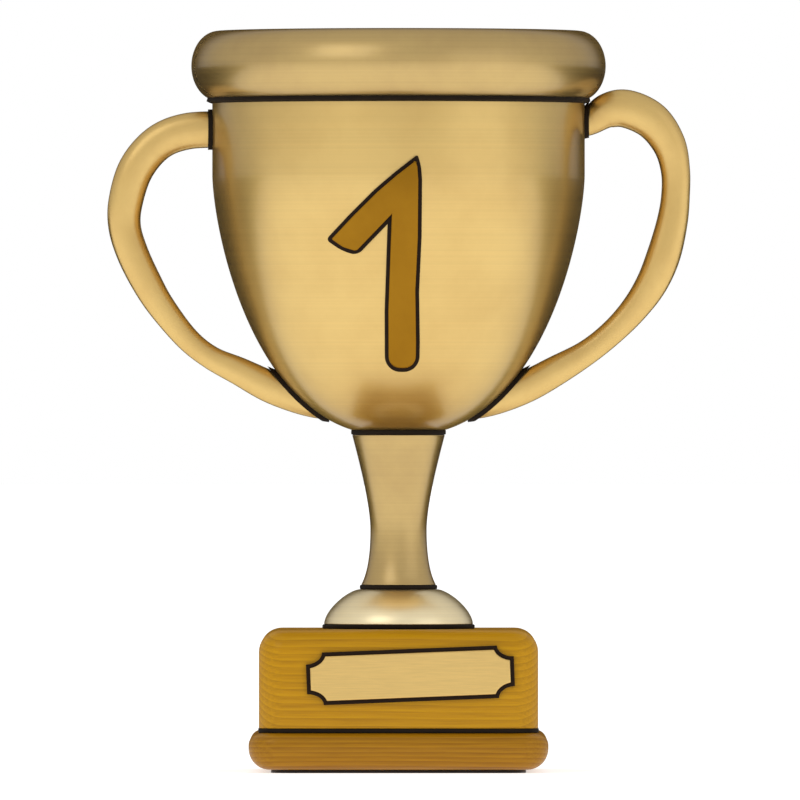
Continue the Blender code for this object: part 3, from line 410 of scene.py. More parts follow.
def plain_box(size, middle=(0.0, 0.0, 0.0)):
    """A box with sharp edges."""
    shape = bmesh.new()
    bmesh.ops.create_cube(shape, size=1.0)
    bmesh.ops.scale(shape, verts=shape.verts, vec=size)
    bmesh.ops.translate(shape, verts=shape.verts, vec=middle)
    return shape


def slice_up(shape, axis, steps, size):
    """Cuts a shape across at each step along an axis, and keeps all of it."""
    for step in steps:
        everything = shape.verts[:] + shape.edges[:] + shape.faces[:]
        bmesh.ops.bisect_plane(shape, geom=everything, plane_co=axis * step * size, plane_no=axis)


def combine(piece, tool_shape, operation):
    """Makes piece's mesh the exact Boolean of piece and a bmesh."""
    tool = finish_piece("tool", tool_shape, piece.data.materials[0], None)
    modifier = piece.modifiers.new("cut", "BOOLEAN")
    modifier.operation = operation
    modifier.solver = "EXACT"
    modifier.object = tool
    bpy.context.view_layer.update()
    seen = piece.evaluated_get(bpy.context.evaluated_depsgraph_get())
    mesh = bpy.data.meshes.new_from_object(seen)
    piece.modifiers.clear()
    old = piece.data
    piece.data = mesh
    bpy.data.meshes.remove(old)
    bpy.data.objects.remove(tool)


def reopened(piece):
    """A piece's mesh as a bmesh again. The piece is removed."""
    shape = bmesh.new()
    shape.from_mesh(piece.data)
    bpy.data.objects.remove(piece)
    return shape


print("helpers ready")

# %% [markdown]
# ## The bowl
# A cup's bowl is spun from a disc of sheet brass over a wooden chuck. Above it is straight. Below it
# swells in to a small flat round the tie rod, along one cubic curve. The same curve, moved in or out
# along its own normal, gives the inner wall, the gaskets that lie on the bowl, and the numeral that is
# curved to it.

# %% The bowl's curve
STRAIGHT_FROM = 106.1 * MM
SHOULDER_PULL = 20.0 * MM
BELLY_PULL = 60.0 * MM
ROD_HOLE = 3.4 * MM
BOWL_WALL = 1.5 * MM


def cubic(points, share):
    """A point on a cubic curve of (radius, height) points, and the normal to the right of its direction."""
    a, b, c, d = (Vector(p) for p in points)
    rest = 1.0 - share
    point = rest**3 * a + 3 * rest**2 * share * b + 3 * rest * share**2 * c + share**3 * d
    along = (rest**2 * (b - a) + 2 * rest * share * (c - b) + share**2 * (d - c)).normalized()
    return point, Vector((-along.y, along.x))


def bowl_point(share, offset=0.0):
    """A point of the bowl's outside, from its shoulder at 0 to its flat at 1, moved out by offset."""
    pulls = ((bowl_radius, STRAIGHT_FROM - SHOULDER_PULL), (BELLY_PULL, 0.0))
    point, normal = cubic(((bowl_radius, STRAIGHT_FROM), *pulls, (ROD_HOLE, 0.0)), share)
    return point + normal * offset + Vector((0.0, cup_foot))


def bowl_line(offset, top, steps=64):
    """The outline of the bowl, moved out by offset, from top down to the hole for the rod."""
    curved = [tuple(bowl_point(step / steps, offset)) for step in range(steps + 1)]
    return [(bowl_radius + offset, top)] + curved


def share_at(axis, value, offset=0.0):
    """The share where the bowl's curve has this radius, axis 0, or this height, axis 1."""
    low, high = 0.0, 1.0
    for _ in range(30):
        middle = (low + high) / 2
        low, high = (middle, high) if bowl_point(middle, offset)[axis] > value else (low, middle)
    return low


def bowl_radius_at(height, offset=0.0):
    """The radius of the bowl's outside at this height, moved out by offset."""
    if height >= cup_foot + STRAIGHT_FROM:
        return bowl_radius + offset
    return bowl_point(share_at(1, height, offset), offset).x


shape = spun(bowl_line(0.0, lip) + bowl_line(-BOWL_WALL, lip)[::-1])
round_over(shape, 0.3 * MM, angle=50.0)
finish_piece("spun_bowl", shape, gold_brass, "gold_lacquered_brass", ["bowl"])

# %% [markdown]
# ## The rim
# The rim is a hollow roll, egg-shaped in section, that hooks over the bowl's lip and hides it. A maker
# would turn a ring of tube into it. Its section is half a wide ellipse outside and half a narrow one
# inside, with a slit underneath for the bowl's wall. Spun with a wall of its own, it stays a thin shell
# and not a solid ring.

# %% The rim
RIM_MIDDLE = 73.0 * MM
RIM_HALF = 14.2 * MM
RIM_OUT = 11.0 * MM
RIM_IN = 5.0 * MM
RIM_WALL = 1.2 * MM
rim_centre = cup_foot + 164.1 * MM - RIM_HALF


def rim_line(inset, first=-71.0, last=272.0, steps=96):
    """The rim's section, moved in by inset, between two angles from its outermost point."""
    points = []
    for step in range(steps + 1):
        angle = math.radians(first + (last - first) * step / steps)
        reach = RIM_OUT if math.cos(angle) > 0.0 else RIM_IN
        radius = RIM_MIDDLE + (reach - inset) * math.cos(angle)
        points.append((radius, rim_centre + (RIM_HALF - inset) * math.sin(angle)))
    return points


shape = spun(rim_line(0.0) + rim_line(RIM_WALL)[::-1])
round_over(shape, 0.3 * MM, angle=50.0)
finish_piece("rolled_rim", shape, umber_brass, "dark_lacquered_brass", ["rim_roll"])

# %% [markdown]
# ## The stem and the domed foot
# Both are turned round the same axis. The stem has a narrow waist low down and flares to a dished top
# that seats under the bowl. The foot is a spun dome with a flat crown. A soft break of half a millimetre
# on each end keeps the edges from looking cut with a knife.

# %% The stem and the foot
STEM_FOOT = 15.2 * MM
WAIST = 11.4 * MM
WAIST_HEIGHT = 22.0 * MM
STEM_TOP = 18.8 * MM
BORE = 8.0 * MM


def dish(offset, inner, outer, steps=12):
    """A line along the bowl's bottom, moved out by offset, from the inner radius to the outer one."""
    first, last = share_at(0, inner, offset), share_at(0, outer, offset)
    return [tuple(bowl_point(first + (last - first) * step / steps, offset)) for step in range(steps + 1)]


top = dish(joint, BORE, STEM_TOP)
waist = (WAIST, stem_low.z + WAIST_HEIGHT)
flare_pull = (WAIST + 3.6 * MM, waist[1] + 24.5 * MM)
foot_pull = (WAIST + 1.2 * MM, stem_low.z + 4.5 * MM)
upper = (top[-1], flare_pull, (WAIST, waist[1] + 9.5 * MM), waist)
lower = (waist, (WAIST, waist[1] - 9.5 * MM), foot_pull, (STEM_FOOT, stem_low.z))
outline = [(BORE, stem_low.z)] + top
outline += [tuple(cubic(upper, step / 40)[0]) for step in range(1, 41)]
outline += [tuple(cubic(lower, step / 24)[0]) for step in range(1, 25)]
shape = round_over(spun(outline, 128), 0.45 * MM, angle=40.0, segments=4)
finish_piece("turned_stem", shape, umber_brass, "dark_lacquered_brass", ["stem"])

DOME_CROWN = 15.5 * MM
DOME_WALL = 1.2 * MM
dome_radius = 30.2 * MM
side = (
    (DOME_CROWN, dome_high.z),
    (20.0 * MM, dome_high.z),
    (dome_radius - 0.2 * MM, dome_low.z + 6.2 * MM),
    (dome_radius, dome_low.z),
)
outside, inside = [(ROD_HOLE, dome_high.z)], [(ROD_HOLE, dome_high.z - DOME_WALL)]
for step in range(49):
    point, normal = cubic(side, step / 48)
    outside.append(tuple(point))
    height = max(point.y - abs(normal.y) * DOME_WALL, dome_low.z)
    inside.append((point.x - abs(normal.x) * DOME_WALL, height))
shape = round_over(spun(outside + inside[::-1], 160), 0.35 * MM, angle=50.0)
finish_piece("spun_foot", shape, pale_brass, "pale_lacquered_brass", ["dome_foot"])

# %% [markdown]
# ## The handles
# Each handle is one casting, bent by hand, so the two are not quite alike. A casting like this has an
# oval section that swells at the top of the loop and at both feet. It could be a curve with a bevel, but
# a curve's section can't change from an oval to a fuller one. Here a circle is pressed into an oval at
# each station along a smooth line, and the loops are bridged into a skin. The bowl then trims both ends,
# so that the feet fit the wall.

# %% The handles
HANDLE_LINES = {  # stations as (distance from the axis, height above the cup's foot, width), in mm
    "right": (
        (60.0, 125.5, 11.0), (69.0, 125.9, 11.0), (77.0, 127.2, 11.0), (84.5, 131.7, 14.2),
        (92.5, 132.5, 15.5), (102.6, 127.8, 15.3), (109.5, 118.5, 13.6), (112.2, 108.0, 11.9),
        (112.3, 97.5, 11.6), (110.9, 86.5, 12.6), (107.4, 73.0, 13.7), (102.5, 61.5, 12.9),
        (95.5, 51.3, 11.3), (86.8, 42.1, 10.2), (76.4, 33.8, 10.3), (63.5, 26.2, 12.2),
        (51.5, 19.8, 13.0), (38.5, 14.9, 13.0), (27.0, 12.4, 12.4), (16.0, 11.2, 11.8),
    ),
    "left": (
        (56.0, 124.4, 14.8), (70.0, 124.2, 14.8), (85.9, 123.4, 14.8), (97.5, 118.7, 14.6),
        (106.3, 108.4, 14.6), (110.6, 95.0, 14.0), (111.0, 84.6, 13.2), (107.8, 73.9, 13.0),
        (102.2, 62.3, 12.4), (95.9, 52.0, 11.2), (85.7, 39.4, 9.8), (76.0, 31.7, 9.6),
        (64.5, 26.1, 11.4), (51.9, 19.8, 13.0), (38.5, 14.9, 13.0), (27.0, 12.4, 12.4),
        (16.0, 11.2, 11.8),
    ),
}
DEPTH_SHARE = 0.76
ROUNDNESS = 2.5
SIDES = {"right": 1.0, "left": -1.0}


def smooth_line(stations, steps=10):
    """A Catmull-Rom curve through (radius, height, width) stations, without the two end ones."""
    stations = [Vector(s) * MM for s in stations]
    line = []
    for a, b, c, d in zip(stations, stations[1:], stations[2:], stations[3:]):
        for step in range(steps):
            t = step / steps
            bend = (2 * a - 5 * b + 4 * c - d) * t**2 + (3 * b - a - 3 * c + d) * t**3
            line.append(0.5 * (2 * b + (c - a) * t + bend))
    return line + [stations[-2]]


def handle_skin(side, margin=0.0, segments=36):
    """The whole handle, feet running on into the bowl, with its section grown by margin."""
    line = smooth_line(HANDLE_LINES[side])
    shape = bmesh.new()
    loops = []
    for index, station in enumerate(line):
        along = line[min(index + 1, len(line) - 1)] - line[max(index - 1, 0)]
        across = Vector((along.y * SIDES[side], 0.0, -along.x)).normalized()
        ring = bmesh.ops.create_circle(shape, segments=segments, radius=1.0)["verts"]
        centre = Vector((station.x * SIDES[side], 0.0, station.y + cup_foot))
        half = station.z / 2
        for vert in ring:
            wide, deep = (math.copysign(abs(c) ** (2 / ROUNDNESS), c) for c in vert.co.xy)
            place = across * wide * (half + margin)
            vert.co = centre + place + Vector((0.0, deep * (half * DEPTH_SHARE + margin), 0.0))
        loops.append(list({edge for vert in ring for edge in vert.link_edges}))
    for first, second in zip(loops, loops[1:]):
        bmesh.ops.bridge_loops(shape, edges=first + second)
    for end in (loops[0], loops[-1]):
        bmesh.ops.edgeloop_fill(shape, edges=end)
    bmesh.ops.recalc_face_normals(shape, faces=shape.faces)
    return shape


def bowl_core(offset):
    """The bowl and the room inside it as one solid, moved out by offset."""
    line = bowl_line(offset, lip)
    return spun([(0.0, lip)] + line + [(0.0, line[-1][1])])


for side in SIDES:
    handle = finish_piece(
        f"cast_handle_{side}", handle_skin(side), handle_brass, "gold_lacquered_brass", [f"handle_{side}"]
    )
    combine(handle, bowl_core(joint), "DIFFERENCE")
    handle.data.set_sharp_from_angle(angle=math.radians(40))

# %% [markdown]
# ## The black gaskets
# Between any two parts lies a gasket of black fibre, which stops metal from grinding on metal and draws a
# dark line round each joint. A gasket fills its joint from face to face, so these are as thick as the
# gap. The ones under the handles' feet are the part of a slightly fatter handle that lies within that
# gap.

# %% Gaskets
HANDLE_MARGIN = 0.8 * MM
print("each gasket is", round(joint / MM, 2), "mm thick")
for side in SIDES:
    for foot in ("upper", "lower"):
        pad = finish_piece(
            f"foot_gasket_{side}_{foot}",
            handle_skin(side, HANDLE_MARGIN),
            fibre,
            "black_fibre",
            [f"handle_gasket_{side}_{foot}"],
        )
        split = cup_foot + 70 * MM
        low, high = (split, lip - 5 * MM) if foot == "upper" else (cup_foot - 5 * MM, split)
        band = spun(bowl_line(joint - 0.05 * MM, lip) + bowl_line(0.02 * MM, lip)[::-1])
        half = spun([(0.0, low), (0.2, low), (0.2, high), (0.0, high)], 32)
        combine(pad, band, "INTERSECT")
        combine(pad, half, "INTERSECT")
        pad.data.set_sharp_from_angle(angle=math.radians(40))

rim_ring = rim_line(-1.4 * MM, -77.0, -67.0, 12) + rim_line(-0.02 * MM, -75.5, -66.0, 12)[::-1]
finish_piece("rim_ring", spun(rim_ring), fibre, "black_fibre", ["rim_gasket"])

seat = dish(joint - 0.05 * MM, BORE, STEM_TOP + 0.4 * MM) + dish(0.02 * MM, BORE, STEM_TOP + 0.4 * MM)[::-1]
seat_shape = round_over(spun(seat, 128), 0.3 * MM, 50.0)
finish_piece("cup_seat_ring", seat_shape, fibre, "black_fibre", ["stem_top_gasket"])

for name, node, inner, outer, low, high in (
    ("stem_ring", "stem_bottom_gasket", BORE, STEM_FOOT + 0.5 * MM, dome_high.z, stem_low.z),
    ("foot_ring", "dome_gasket", 26 * MM, dome_radius + 0.7 * MM, block_high.z, dome_low.z),
):
    low, high = low + 0.02 * MM, high - 0.02 * MM
    ring = spun([(inner, low), (outer, low), (outer, high), (inner, high)], 128)
    finish_piece(name, round_over(ring, 0.5 * MM, 50.0), fibre, "black_fibre", [node])

# %% [markdown]
# ## The plinth and the slab
# Both are sawn blocks with routed edges: the corners are rounded in plan first, and then the top edge is
# run past a round-over cutter. Bevelling the upright edges and then the level ones does the same, in the
# same order. A sheet of gasket as wide as the plinth lies between them.

# %% Woodwork
def routed_block(low, high, corner, top_round, bottom_round, segments=10):
    """A block between two corners of a box, its upright edges rounded and then its level ones."""
    shape = plain_box(high - low, (high + low) / 2)
    tall = [e for e in shape.edges if abs(e.verts[0].co.z - e.verts[1].co.z) > 1e-6]
    bevel(shape, tall, corner, segments)
    for level, offset in ((high.z, top_round), (low.z, bottom_round)):
        edge = [e for e in shape.edges if all(abs(v.co.z - level) < 1e-6 for v in e.verts)]
        bevel(shape, edge, offset, segments)
    return shape


block = routed_block(block_low, block_high, 10 * MM, 8.8 * MM, 0.4 * MM)
finish_piece("plinth", block, honey_wood, "honey_stained_wood", ["plinth_block"])
slab = routed_block(slab_low, slab_high, 12 * MM, 5.0 * MM, 8.5 * MM)
finish_piece("slab", slab, brown_wood, "brown_stained_wood", ["base_slab"])

edge = Vector((0.3 * MM, 0.3 * MM, 0.0))
sheet_low = Vector((block_low.x, block_low.y, slab_high.z + 0.02 * MM)) - edge
sheet_high = Vector((block_high.x, block_high.y, block_low.z - 0.02 * MM)) + edge
sheet = routed_block(sheet_low, sheet_high, 10 * MM, 0.4 * MM, 0.4 * MM, 4)
finish_piece("plinth_sheet", sheet, fibre, "black_fibre", ["plinth_gasket"])

# %% [markdown]
# ## The felt underneath
# A square of wool felt is glued under the slab so that it doesn't scratch a shelf. Felt is never quite
# flat, so the sheet is cut into a grid and its points are nudged by a smooth wave of a few hundredths of
# a millimetre.

# %% Felt
FELT_GRID = 3 * MM
felt_low, felt_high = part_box("baize_pad")
shape = routed_block(felt_low, felt_high, 8 * MM, 0.3 * MM, 0.3 * MM, 4)
for axis in (Vector((1, 0, 0)), Vector((0, 1, 0))):
    slice_up(shape, axis, range(-16, 17), FELT_GRID)
for vert in shape.verts:
    if vert.co.z > (felt_low.z + felt_high.z) / 2:
        vert.co.z -= 0.04 * MM * (1 + math.sin(vert.co.x / (5 * MM)) * math.cos(vert.co.y / (6 * MM)))
pad = finish_piece("felt_sheet", shape, felt, "black_baize", ["baize_pad"])

# %% [markdown]
# ## The numeral
# The numeral is cast flat, filed round its edge, bent to the bowl and set on a black enamelled plate that
# shows as a border. It could be cut out of a curved shell, but then its edge would be rough. Instead the
# flat outline is extruded and its front edge rounded, the plate is cut across every millimetre or two so
# that it can bend, and each point is carried to the bowl: its depth becomes its distance from the wall,
# and its height and width stay.

# %% The numeral's plates
NUMERAL = (  # corners as (across, height above the cup's foot), in mm, from the tip down the right side
    (7.7, 113.2), (9.1, 108.6), (9.5, 103.0), (9.3, 80.0), (8.3, 58.0), (8.6, 38.0), (8.4, 25.8),
    (-5.5, 25.8), (-5.6, 50.0), (-4.4, 85.2), (-16.6, 72.6), (-23.0, 74.6), (-29.3, 79.0),
    (-19.7, 89.2), (-9.5, 99.3), (-1.4, 106.2),
)
# Corners, by their place in the outline: how far each is rounded, in mm, and in how many segments.
ROUNDED = {
    (0,): (1.0, 3),
    (1, 13, 14, 15): (2.2, 3),
    (6, 7): (6.2, 10),
    (10, 11): (2.6, 5),
    (12,): (1.8, 4),
}
NUMERAL_BORDER = 1.5 * MM


def outlined(points, inset=0.0):
    """One face in the XZ plane from (across, height) points in metres, drawn in by inset."""
    shape = bmesh.new()
    shape.faces.new([shape.verts.new((across, 0.0, height)) for across, height in points])
    shape.normal_update()
    if inset:
        rim = bmesh.ops.inset_individual(shape, faces=shape.faces[:], thickness=inset, use_even_offset=True)
        bmesh.ops.delete(shape, geom=rim["faces"], context="FACES")
    return shape


def plated(shape, back, front, rounding):
    """Makes the face a plate from y = -back to y = -front, with its front edge rounded over."""
    bmesh.ops.translate(shape, verts=shape.verts, vec=(0.0, -back, 0.0))
    grown = bmesh.ops.extrude_face_region(shape, geom=shape.faces[:])["geom"]
    moved = [item for item in grown if isinstance(item, bmesh.types.BMVert)]
    bmesh.ops.translate(shape, verts=moved, vec=(0.0, back - front, 0.0))
    bmesh.ops.recalc_face_normals(shape, faces=shape.faces)
    round_over(shape, rounding, 50.0, 4, lambda e: all(abs(v.co.y + front) < 1e-6 for v in e.verts))
    shape.normal_update()
    flat = [face for face in shape.faces if face.normal.y < -0.999 and len(face.verts) > 4]
    bmesh.ops.inset_individual(shape, faces=flat, thickness=0.3 * MM, use_even_offset=True)
    return shape


def numeral_plate(inset, back, front, rounding):
    """The numeral drawn in by inset and bent to the bowl, between two distances from its wall."""
    shape = outlined([(x * MM, z * MM + cup_foot) for x, z in NUMERAL], inset)
    corners = list(next(iter(shape.faces)).verts)
    for indices, (size, segments) in ROUNDED.items():
        chosen = [corners[i] for i in indices]
        bevel(shape, chosen, max(size * MM - inset, 0.6 * MM), segments, "VERTICES")
    plated(shape, back, front, rounding)
    slice_up(shape, Vector((0, 0, 1)), range(160, 252, 2), MM)
    slice_up(shape, Vector((1, 0, 0)), range(-30, 12, 2), MM)
    for vert in shape.verts:
        radius = bowl_radius_at(vert.co.z, -vert.co.y)
        vert.co.y = -math.sqrt(radius**2 - vert.co.x**2)
    bmesh.ops.triangulate(shape, faces=[f for f in shape.faces if len(f.verts) > 4])
    return shape


shape = numeral_plate(0.0, 0.05 * MM, 1.4 * MM, 0.2 * MM)
finish_piece("numeral_ground", shape, enamel, "black_enamel", ["numeral_backer"])
shape = numeral_plate(NUMERAL_BORDER, 1.4 * MM, 3.2 * MM, 0.35 * MM)
finish_piece("cast_numeral", shape, numeral_bronze, "cast_bronze", ["numeral_one"])

# %% [markdown]
# ## The name plate
# A plate for engraving, still blank, has a quarter of an oval bitten out of each corner. It sits on a
# slightly larger enamelled plate, and was stuck on by hand, a touch to the right and rising a little. The
# same outline makes both.

# %% The name plate
PLATE_OVER = (83.8 * MM, 21.2 * MM)
PLATE_NOTCH = (6.6 * MM, 4.6 * MM)
PLATE_MIDDLE = (4.8 * MM, 21.5 * MM)
PLATE_TILT = math.radians(-2.3)
PLATE_BORDER = 1.6 * MM


def notched(inset, steps=14):
    """The plate's outline as (across, up) points, with every edge moved in by inset."""
    wide, tall = PLATE_NOTCH[0] + inset, PLATE_NOTCH[1] + inset
    first, last = math.asin(inset / tall), math.acos(inset / wide)
    arc = [first + (last - first) * step / steps for step in range(steps + 1)]
    points = []
    for corner, (side, up) in enumerate(((1, 1), (-1, 1), (-1, -1), (1, -1))):
        for angle in arc[::-1] if corner in (0, 2) else arc:
            across = side * (PLATE_OVER[0] / 2 - wide * math.cos(angle))
            points.append((across, up * (PLATE_OVER[1] / 2 - tall * math.sin(angle))))
    return points


set_in_place = Matrix.Translation((PLATE_MIDDLE[0], block_low.y, block_low.z + PLATE_MIDDLE[1]))
set_in_place @= Matrix.Rotation(PLATE_TILT, 4, "Y")
for name, node, inset, back, front, rounding, material, slot in (
    ("plate_ground", "name_plate_border", 0.0, 0.05, 1.75, 0.2, enamel, "black_enamel"),
    ("engraving_plate", "name_plate", PLATE_BORDER, 1.75, 3.0, 0.35, plate_brass, "gold_lacquered_brass"),
):
    shape = plated(outlined(notched(inset)), back * MM, front * MM, rounding * MM)
    bmesh.ops.transform(shape, matrix=set_in_place, verts=shape.verts)
    finish_piece(name, shape, material, slot, [node])

# %% [markdown]
# ## Screws, washers and nuts in the cup
# Looking into the cup shows how it is held together: a cap nut on a dished washer pulls the bowl down on
# the tie rod, two slotted screws hold each handle, and two push-on nuts grip the numeral's studs. A screw
# head is a low dome spun round its own axis, with its slot cut by a box.

# %% Turning a part to its own direction
def stand(shape, place, direction):
    """Moves a part made round Z so that it stands at place and points along direction."""
    turn = Vector((0, 0, 1)).rotation_difference(Vector(direction).normalized()).to_matrix().to_4x4()
    bmesh.ops.transform(shape, matrix=Matrix.Translation(place) @ turn, verts=shape.verts)
    return shape


def washer(inner, outer, thickness, steps=64):
    """A flat ring on z = 0 with softened edges."""
    shape = spun([(inner, 0.0), (outer, 0.0), (outer, thickness), (inner, thickness)], steps)
    return round_over(shape, 0.18 * MM, 50.0, 2)


def slotted_head(shank):
    """A screw with a domed head on z = 0, the slot across it, and a plain shank below."""
    arc = [math.radians(90 * step / 12) for step in range(12)]
    head = [(3.8 * MM * math.cos(a), 2.4 * MM * (0.42 + 0.58 * math.sin(a))) for a in arc]
    shank_line = [(0, -shank), (1.8 * MM, -shank), (1.8 * MM, 0), (3.8 * MM, 0)]
    shape = spun(shank_line + head + [(0, 2.4 * MM)], 64)
    screw = finish_piece("screw", round_over(shape, 0.15 * MM, 50.0, 2), bright_brass, None)
    combine(screw, plain_box((0.9 * MM, 12 * MM, 2.4 * MM), (0.0, 0.0, 2.4 * MM)), "DIFFERENCE")
    return reopened(screw)


# %% [markdown]
# Each foot of a handle is held by one screw with a washer under its head. The upper screw goes in square
# to the straight wall, and the lower one square to the curve of the belly, so the direction comes from
# the same curve.

# %% Handle screws
SCREW_PLACES = {  # height of the upper screw above the cup's foot, and radius of the lower one
    "right": (126.8 * MM, 42.5 * MM),
    "left": (124.2 * MM, 42.5 * MM),
}
for side, (height, low_radius) in SCREW_PLACES.items():
    share = share_at(0, low_radius)
    low_point = bowl_point(share)
    feet = {
        "upper": (Vector((bowl_radius, cup_foot + height)), Vector((1.0, 0.0))),
        "lower": (low_point, (bowl_point(share, 1.0) - low_point).normalized()),
    }
    for foot, (point, out) in feet.items():
        inward = Vector((-out.x * SIDES[side], 0.0, -out.y))
        wall = Vector((point.x * SIDES[side], 0.0, point.y))
        end = f"{side}_{foot}"
        ring = stand(washer(2.1 * MM, 5.0 * MM, 0.8 * MM), wall + inward * 2.1 * MM, inward)
        finish_piece(f"screw_washer_{end}", ring, bright_brass, "polished_brass", [f"handle_washer_{end}"])
        screw = stand(slotted_head(10.6 * MM), wall + inward * 3.0 * MM, inward)
        finish_piece(f"foot_screw_{end}", screw, bright_brass, "polished_brass", [f"handle_screw_{end}"])

# %% [markdown]
# A push-on nut is a thin spring-steel disc with teeth round its hole that bite into a plain stud. The
# teeth are cut by six narrow slots, and the stud's end stands a little proud of it. The cap nut is a
# hexagon with its corners turned off and a dome on top, and it is pulled down on the dished washer.

# %% Push-on nuts and the cap nut
DISC_LINE = [(1.7 * MM, 0), (4.2 * MM, 0), (4.2 * MM, 0.5 * MM), (1.7 * MM, 0.8 * MM)]
STUD_LINE = [(0, 0), (1.4 * MM, 0), (1.4 * MM, 7.5 * MM), (0, 7.5 * MM)]
for level, node in (("upper", "numeral_push_nut_upper"), ("lower", "numeral_push_nut_lower")):
    low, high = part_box(node)
    centre = (low + high) / 2
    disc = finish_piece("disc", spun(DISC_LINE, 72), zinc_steel, None)
    for turn in range(3):
        notch = plain_box((0.5 * MM, 5.6 * MM, 4 * MM))
        bmesh.ops.rotate(notch, verts=notch.verts, matrix=Matrix.Rotation(math.pi * turn / 3, 3, "Z"))
        combine(disc, notch, "DIFFERENCE")
    made = stand(reopened(disc), Vector((centre.x, low.y, centre.z)), (0, 1, 0))
    finish_piece(f"push_on_nut_{level}", made, zinc_steel, "zinc_plated_steel", [node])
    stud = round_over(spun(STUD_LINE, 40), 0.3 * MM, 50.0)
    end = Vector((centre.x, low.y - 4.5 * MM, centre.z))
    finish_piece(f"stud_{level}", stand(stud, end, (0, 1, 0)), numeral_bronze, "cast_bronze")

nut_low, nut_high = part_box("rod_cap_nut")
HEX_RADIUS, HEX_HEIGHT, DOME = 5.8 * MM, 4.3 * MM, 4.7 * MM
HEX_LINE = [(0, 0), (HEX_RADIUS, 0), (HEX_RADIUS, HEX_HEIGHT), (0, HEX_HEIGHT)]
TURNED_OFF = ((0, -0.1), (5.2, -0.1), (6.6, 1.2), (6.6, 3.4), (5.0, 4.6), (0, 4.6))  # in mm
nut = finish_piece("cap_nut", spun(HEX_LINE, 6), bright_brass, None)
combine(nut, spun([(radius * MM, height * MM) for radius, height in TURNED_OFF], 96), "INTERSECT")
rise = nut_high.z - nut_low.z - HEX_HEIGHT
arc = [math.radians(90 * step / 14) for step in range(14)]
cap = [(DOME * math.cos(a), HEX_HEIGHT + rise * math.sin(a)) for a in arc]
combine(nut, spun([(0, 3.5 * MM), (DOME, 3.5 * MM)] + cap + [(0, HEX_HEIGHT + rise)], 72), "UNION")
made = reopened(nut)
bmesh.ops.translate(made, verts=made.verts, vec=(0.0, 0.0, nut_low.z))
finish_piece("domed_nut", made, bright_brass, "polished_brass", ["rod_cap_nut"])

clamp_out, clamp_in = -BOWL_WALL - 0.3 * MM, -BOWL_WALL - 2.6 * MM
clamp = dish(clamp_out, 3.4 * MM, 16 * MM) + dish(clamp_in, 3.4 * MM, 16 * MM)[::-1]
clamp_shape = round_over(spun(clamp, 96), 0.3 * MM, 50.0)
finish_piece("dished_washer", clamp_shape, zinc_steel, "zinc_plated_steel", ["cup_clamp_washer"])

# %% [markdown]
# ## The parts nobody sees
# The rod, the nut and washers in the slab, the wood screws, the bush and the foam tape are inside. Their
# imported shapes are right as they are, so each only gets its finish.

# %% Finish the hidden parts
hidden = {"dome_support_bush": zinc_steel, "tie_rod": zinc_steel, "name_plate_tape": foam}
hidden.update({f"rod_{part}": zinc_steel for part in ("nut", "washer", "spring_washer")})
hidden.update({f"slab_screw_{a}_{b}": zinc_steel for a in ("front", "back") for b in ("left", "right")})
for node, material in hidden.items():
    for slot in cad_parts[node].material_slots:
        slot.material = material
print("kept as packed:", ", ".join(sorted(hidden)))

# %% [markdown]
# ## The studio
# The trophy stands on a plain white floor in an even white room, as for a catalogue. An even room would
# make brass look like paint, so the wall behind the trophy is dark. Only the edges of round metal mirror
# that wall, which draws them with a soft dark line, and the camera itself sees white there. One large
# light from the upper left and a weaker one from the right give the satin metal a slow gradient. The
# floor glows a little, so that it burns out to the same white as the room. The lens is very long, because
# the view should be nearly parallel.

# %% Floor, light and camera
floor_shape = bmesh.new()
bmesh.ops.create_grid(floor_shape, x_segments=4, y_segments=4, size=30.0)
glow = {"Emission Color": colour("#FFFFFF"), "Emission Strength": 0.55}
floor_white, tree, shader = start_material(
    "matte_white_floor", {"Roughness": 0.9, "Specular IOR Level": 0.1, **glow}
)
grain = add(tree, "TexNoise", {"Scale": 3.0, "Detail": 2.0}, Vector=add(tree, "TexCoord").outputs["Object"])
whites = {"data_type": "RGBA", 6: colour("#F4F4F3"), 7: colour("#F8F8F7")}
tone = add(tree, "Mix", whites, _0=grain.outputs[0]).outputs[2]
tree.links.new(tone, shader.inputs["Base Color"])
floor = finish_piece("floor", floor_shape, floor_white, None)

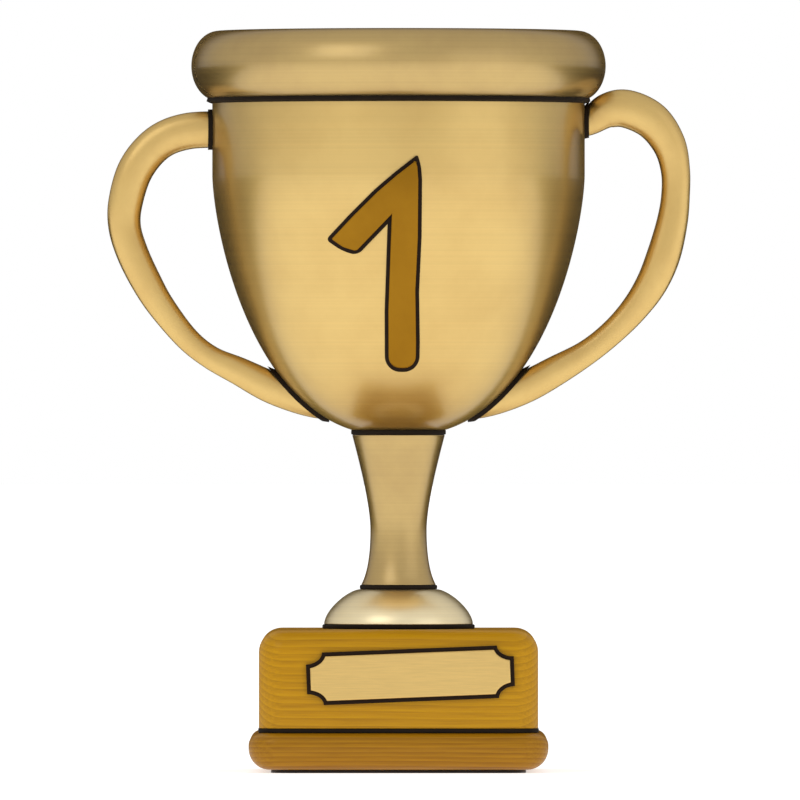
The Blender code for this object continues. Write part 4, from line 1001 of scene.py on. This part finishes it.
ROOM = 0.74
BACK_WALL = (0.05, 0.035, 0.02, 1.0)
WALL_FADE = (0.74, 0.90)  # cosines of the angle from straight behind, between which the dark wall fades in
world = bpy.data.worlds.new("white_room")
world.use_nodes = True
bpy.context.scene.world = world
tree = world.node_tree
backdrop = tree.nodes["Background"]
way = add(tree, "TexCoord").outputs["Generated"]
behind = add(tree, "VectorMath", {"operation": "DOT_PRODUCT", 1: (0.0, 1.0, 0.0)}, _0=way).outputs["Value"]
ring = add(tree, "ValToRGB", Fac=behind)
stops = ring.color_ramp.elements
stops[0].position, stops[0].color = WALL_FADE[0], (ROOM, ROOM, ROOM, 1.0)
stops[1].position, stops[1].color = WALL_FADE[1], BACK_WALL
direct = add(tree, "LightPath").outputs["Is Camera Ray"]
seen = add(tree, "Mix", {"data_type": "RGBA", 7: (1.0, 1.0, 1.0, 1.0)}, _0=direct, _6=ring.outputs[0])
tree.links.new(seen.outputs[2], backdrop.inputs["Color"])


def soft_light(name, place, size, power, target=(0.0, 0.0, 0.17)):
    """A square area light that faces the target and that the camera doesn't see."""
    light = bpy.data.lights.new(name, "AREA")
    light.size, light.energy = size, power
    lamp = placed(name, light)
    lamp.location = place
    lamp.rotation_euler = (Vector(target) - Vector(place)).to_track_quat("-Z", "Y").to_euler()
    lamp.visible_camera = False
    return lamp


# A black card on the floor behind the trophy darkens the edges of round metal. Only reflections show it.
CARD_HALF = 14.0
CARD_GAP = 0.22
card_shape = bmesh.new()
bmesh.ops.create_grid(card_shape, x_segments=1, y_segments=1, size=CARD_HALF)
bmesh.ops.translate(card_shape, verts=card_shape.verts, vec=(0.0, CARD_HALF + CARD_GAP, 0.5 * MM))
card = finish_piece("black_card", card_shape, fibre, None)
card.visible_camera = card.visible_diffuse = card.visible_shadow = False

soft_light("key", (-1.1, -1.7, 1.5), 1.3, 5.0)
soft_light("fill", (1.6, -1.3, 0.7), 1.6, 2.0)

FRAME_WIDTH = 324.3 * MM
LENS = 1000.0
camera_data = bpy.data.cameras.new("camera")
camera_data.lens, camera_data.sensor_width = LENS, 36.0
camera_data.clip_end = 100.0
camera = placed("camera", camera_data)
camera.location = (0.6 * MM, -FRAME_WIDTH * LENS / 36.0, 150.4 * MM)
camera.rotation_euler = (math.pi / 2, 0.0, 0.0)
bpy.context.scene.camera = camera
bpy.context.scene.view_settings.view_transform = "Standard"
print("camera", round(-camera.location.y, 2), "m in front")
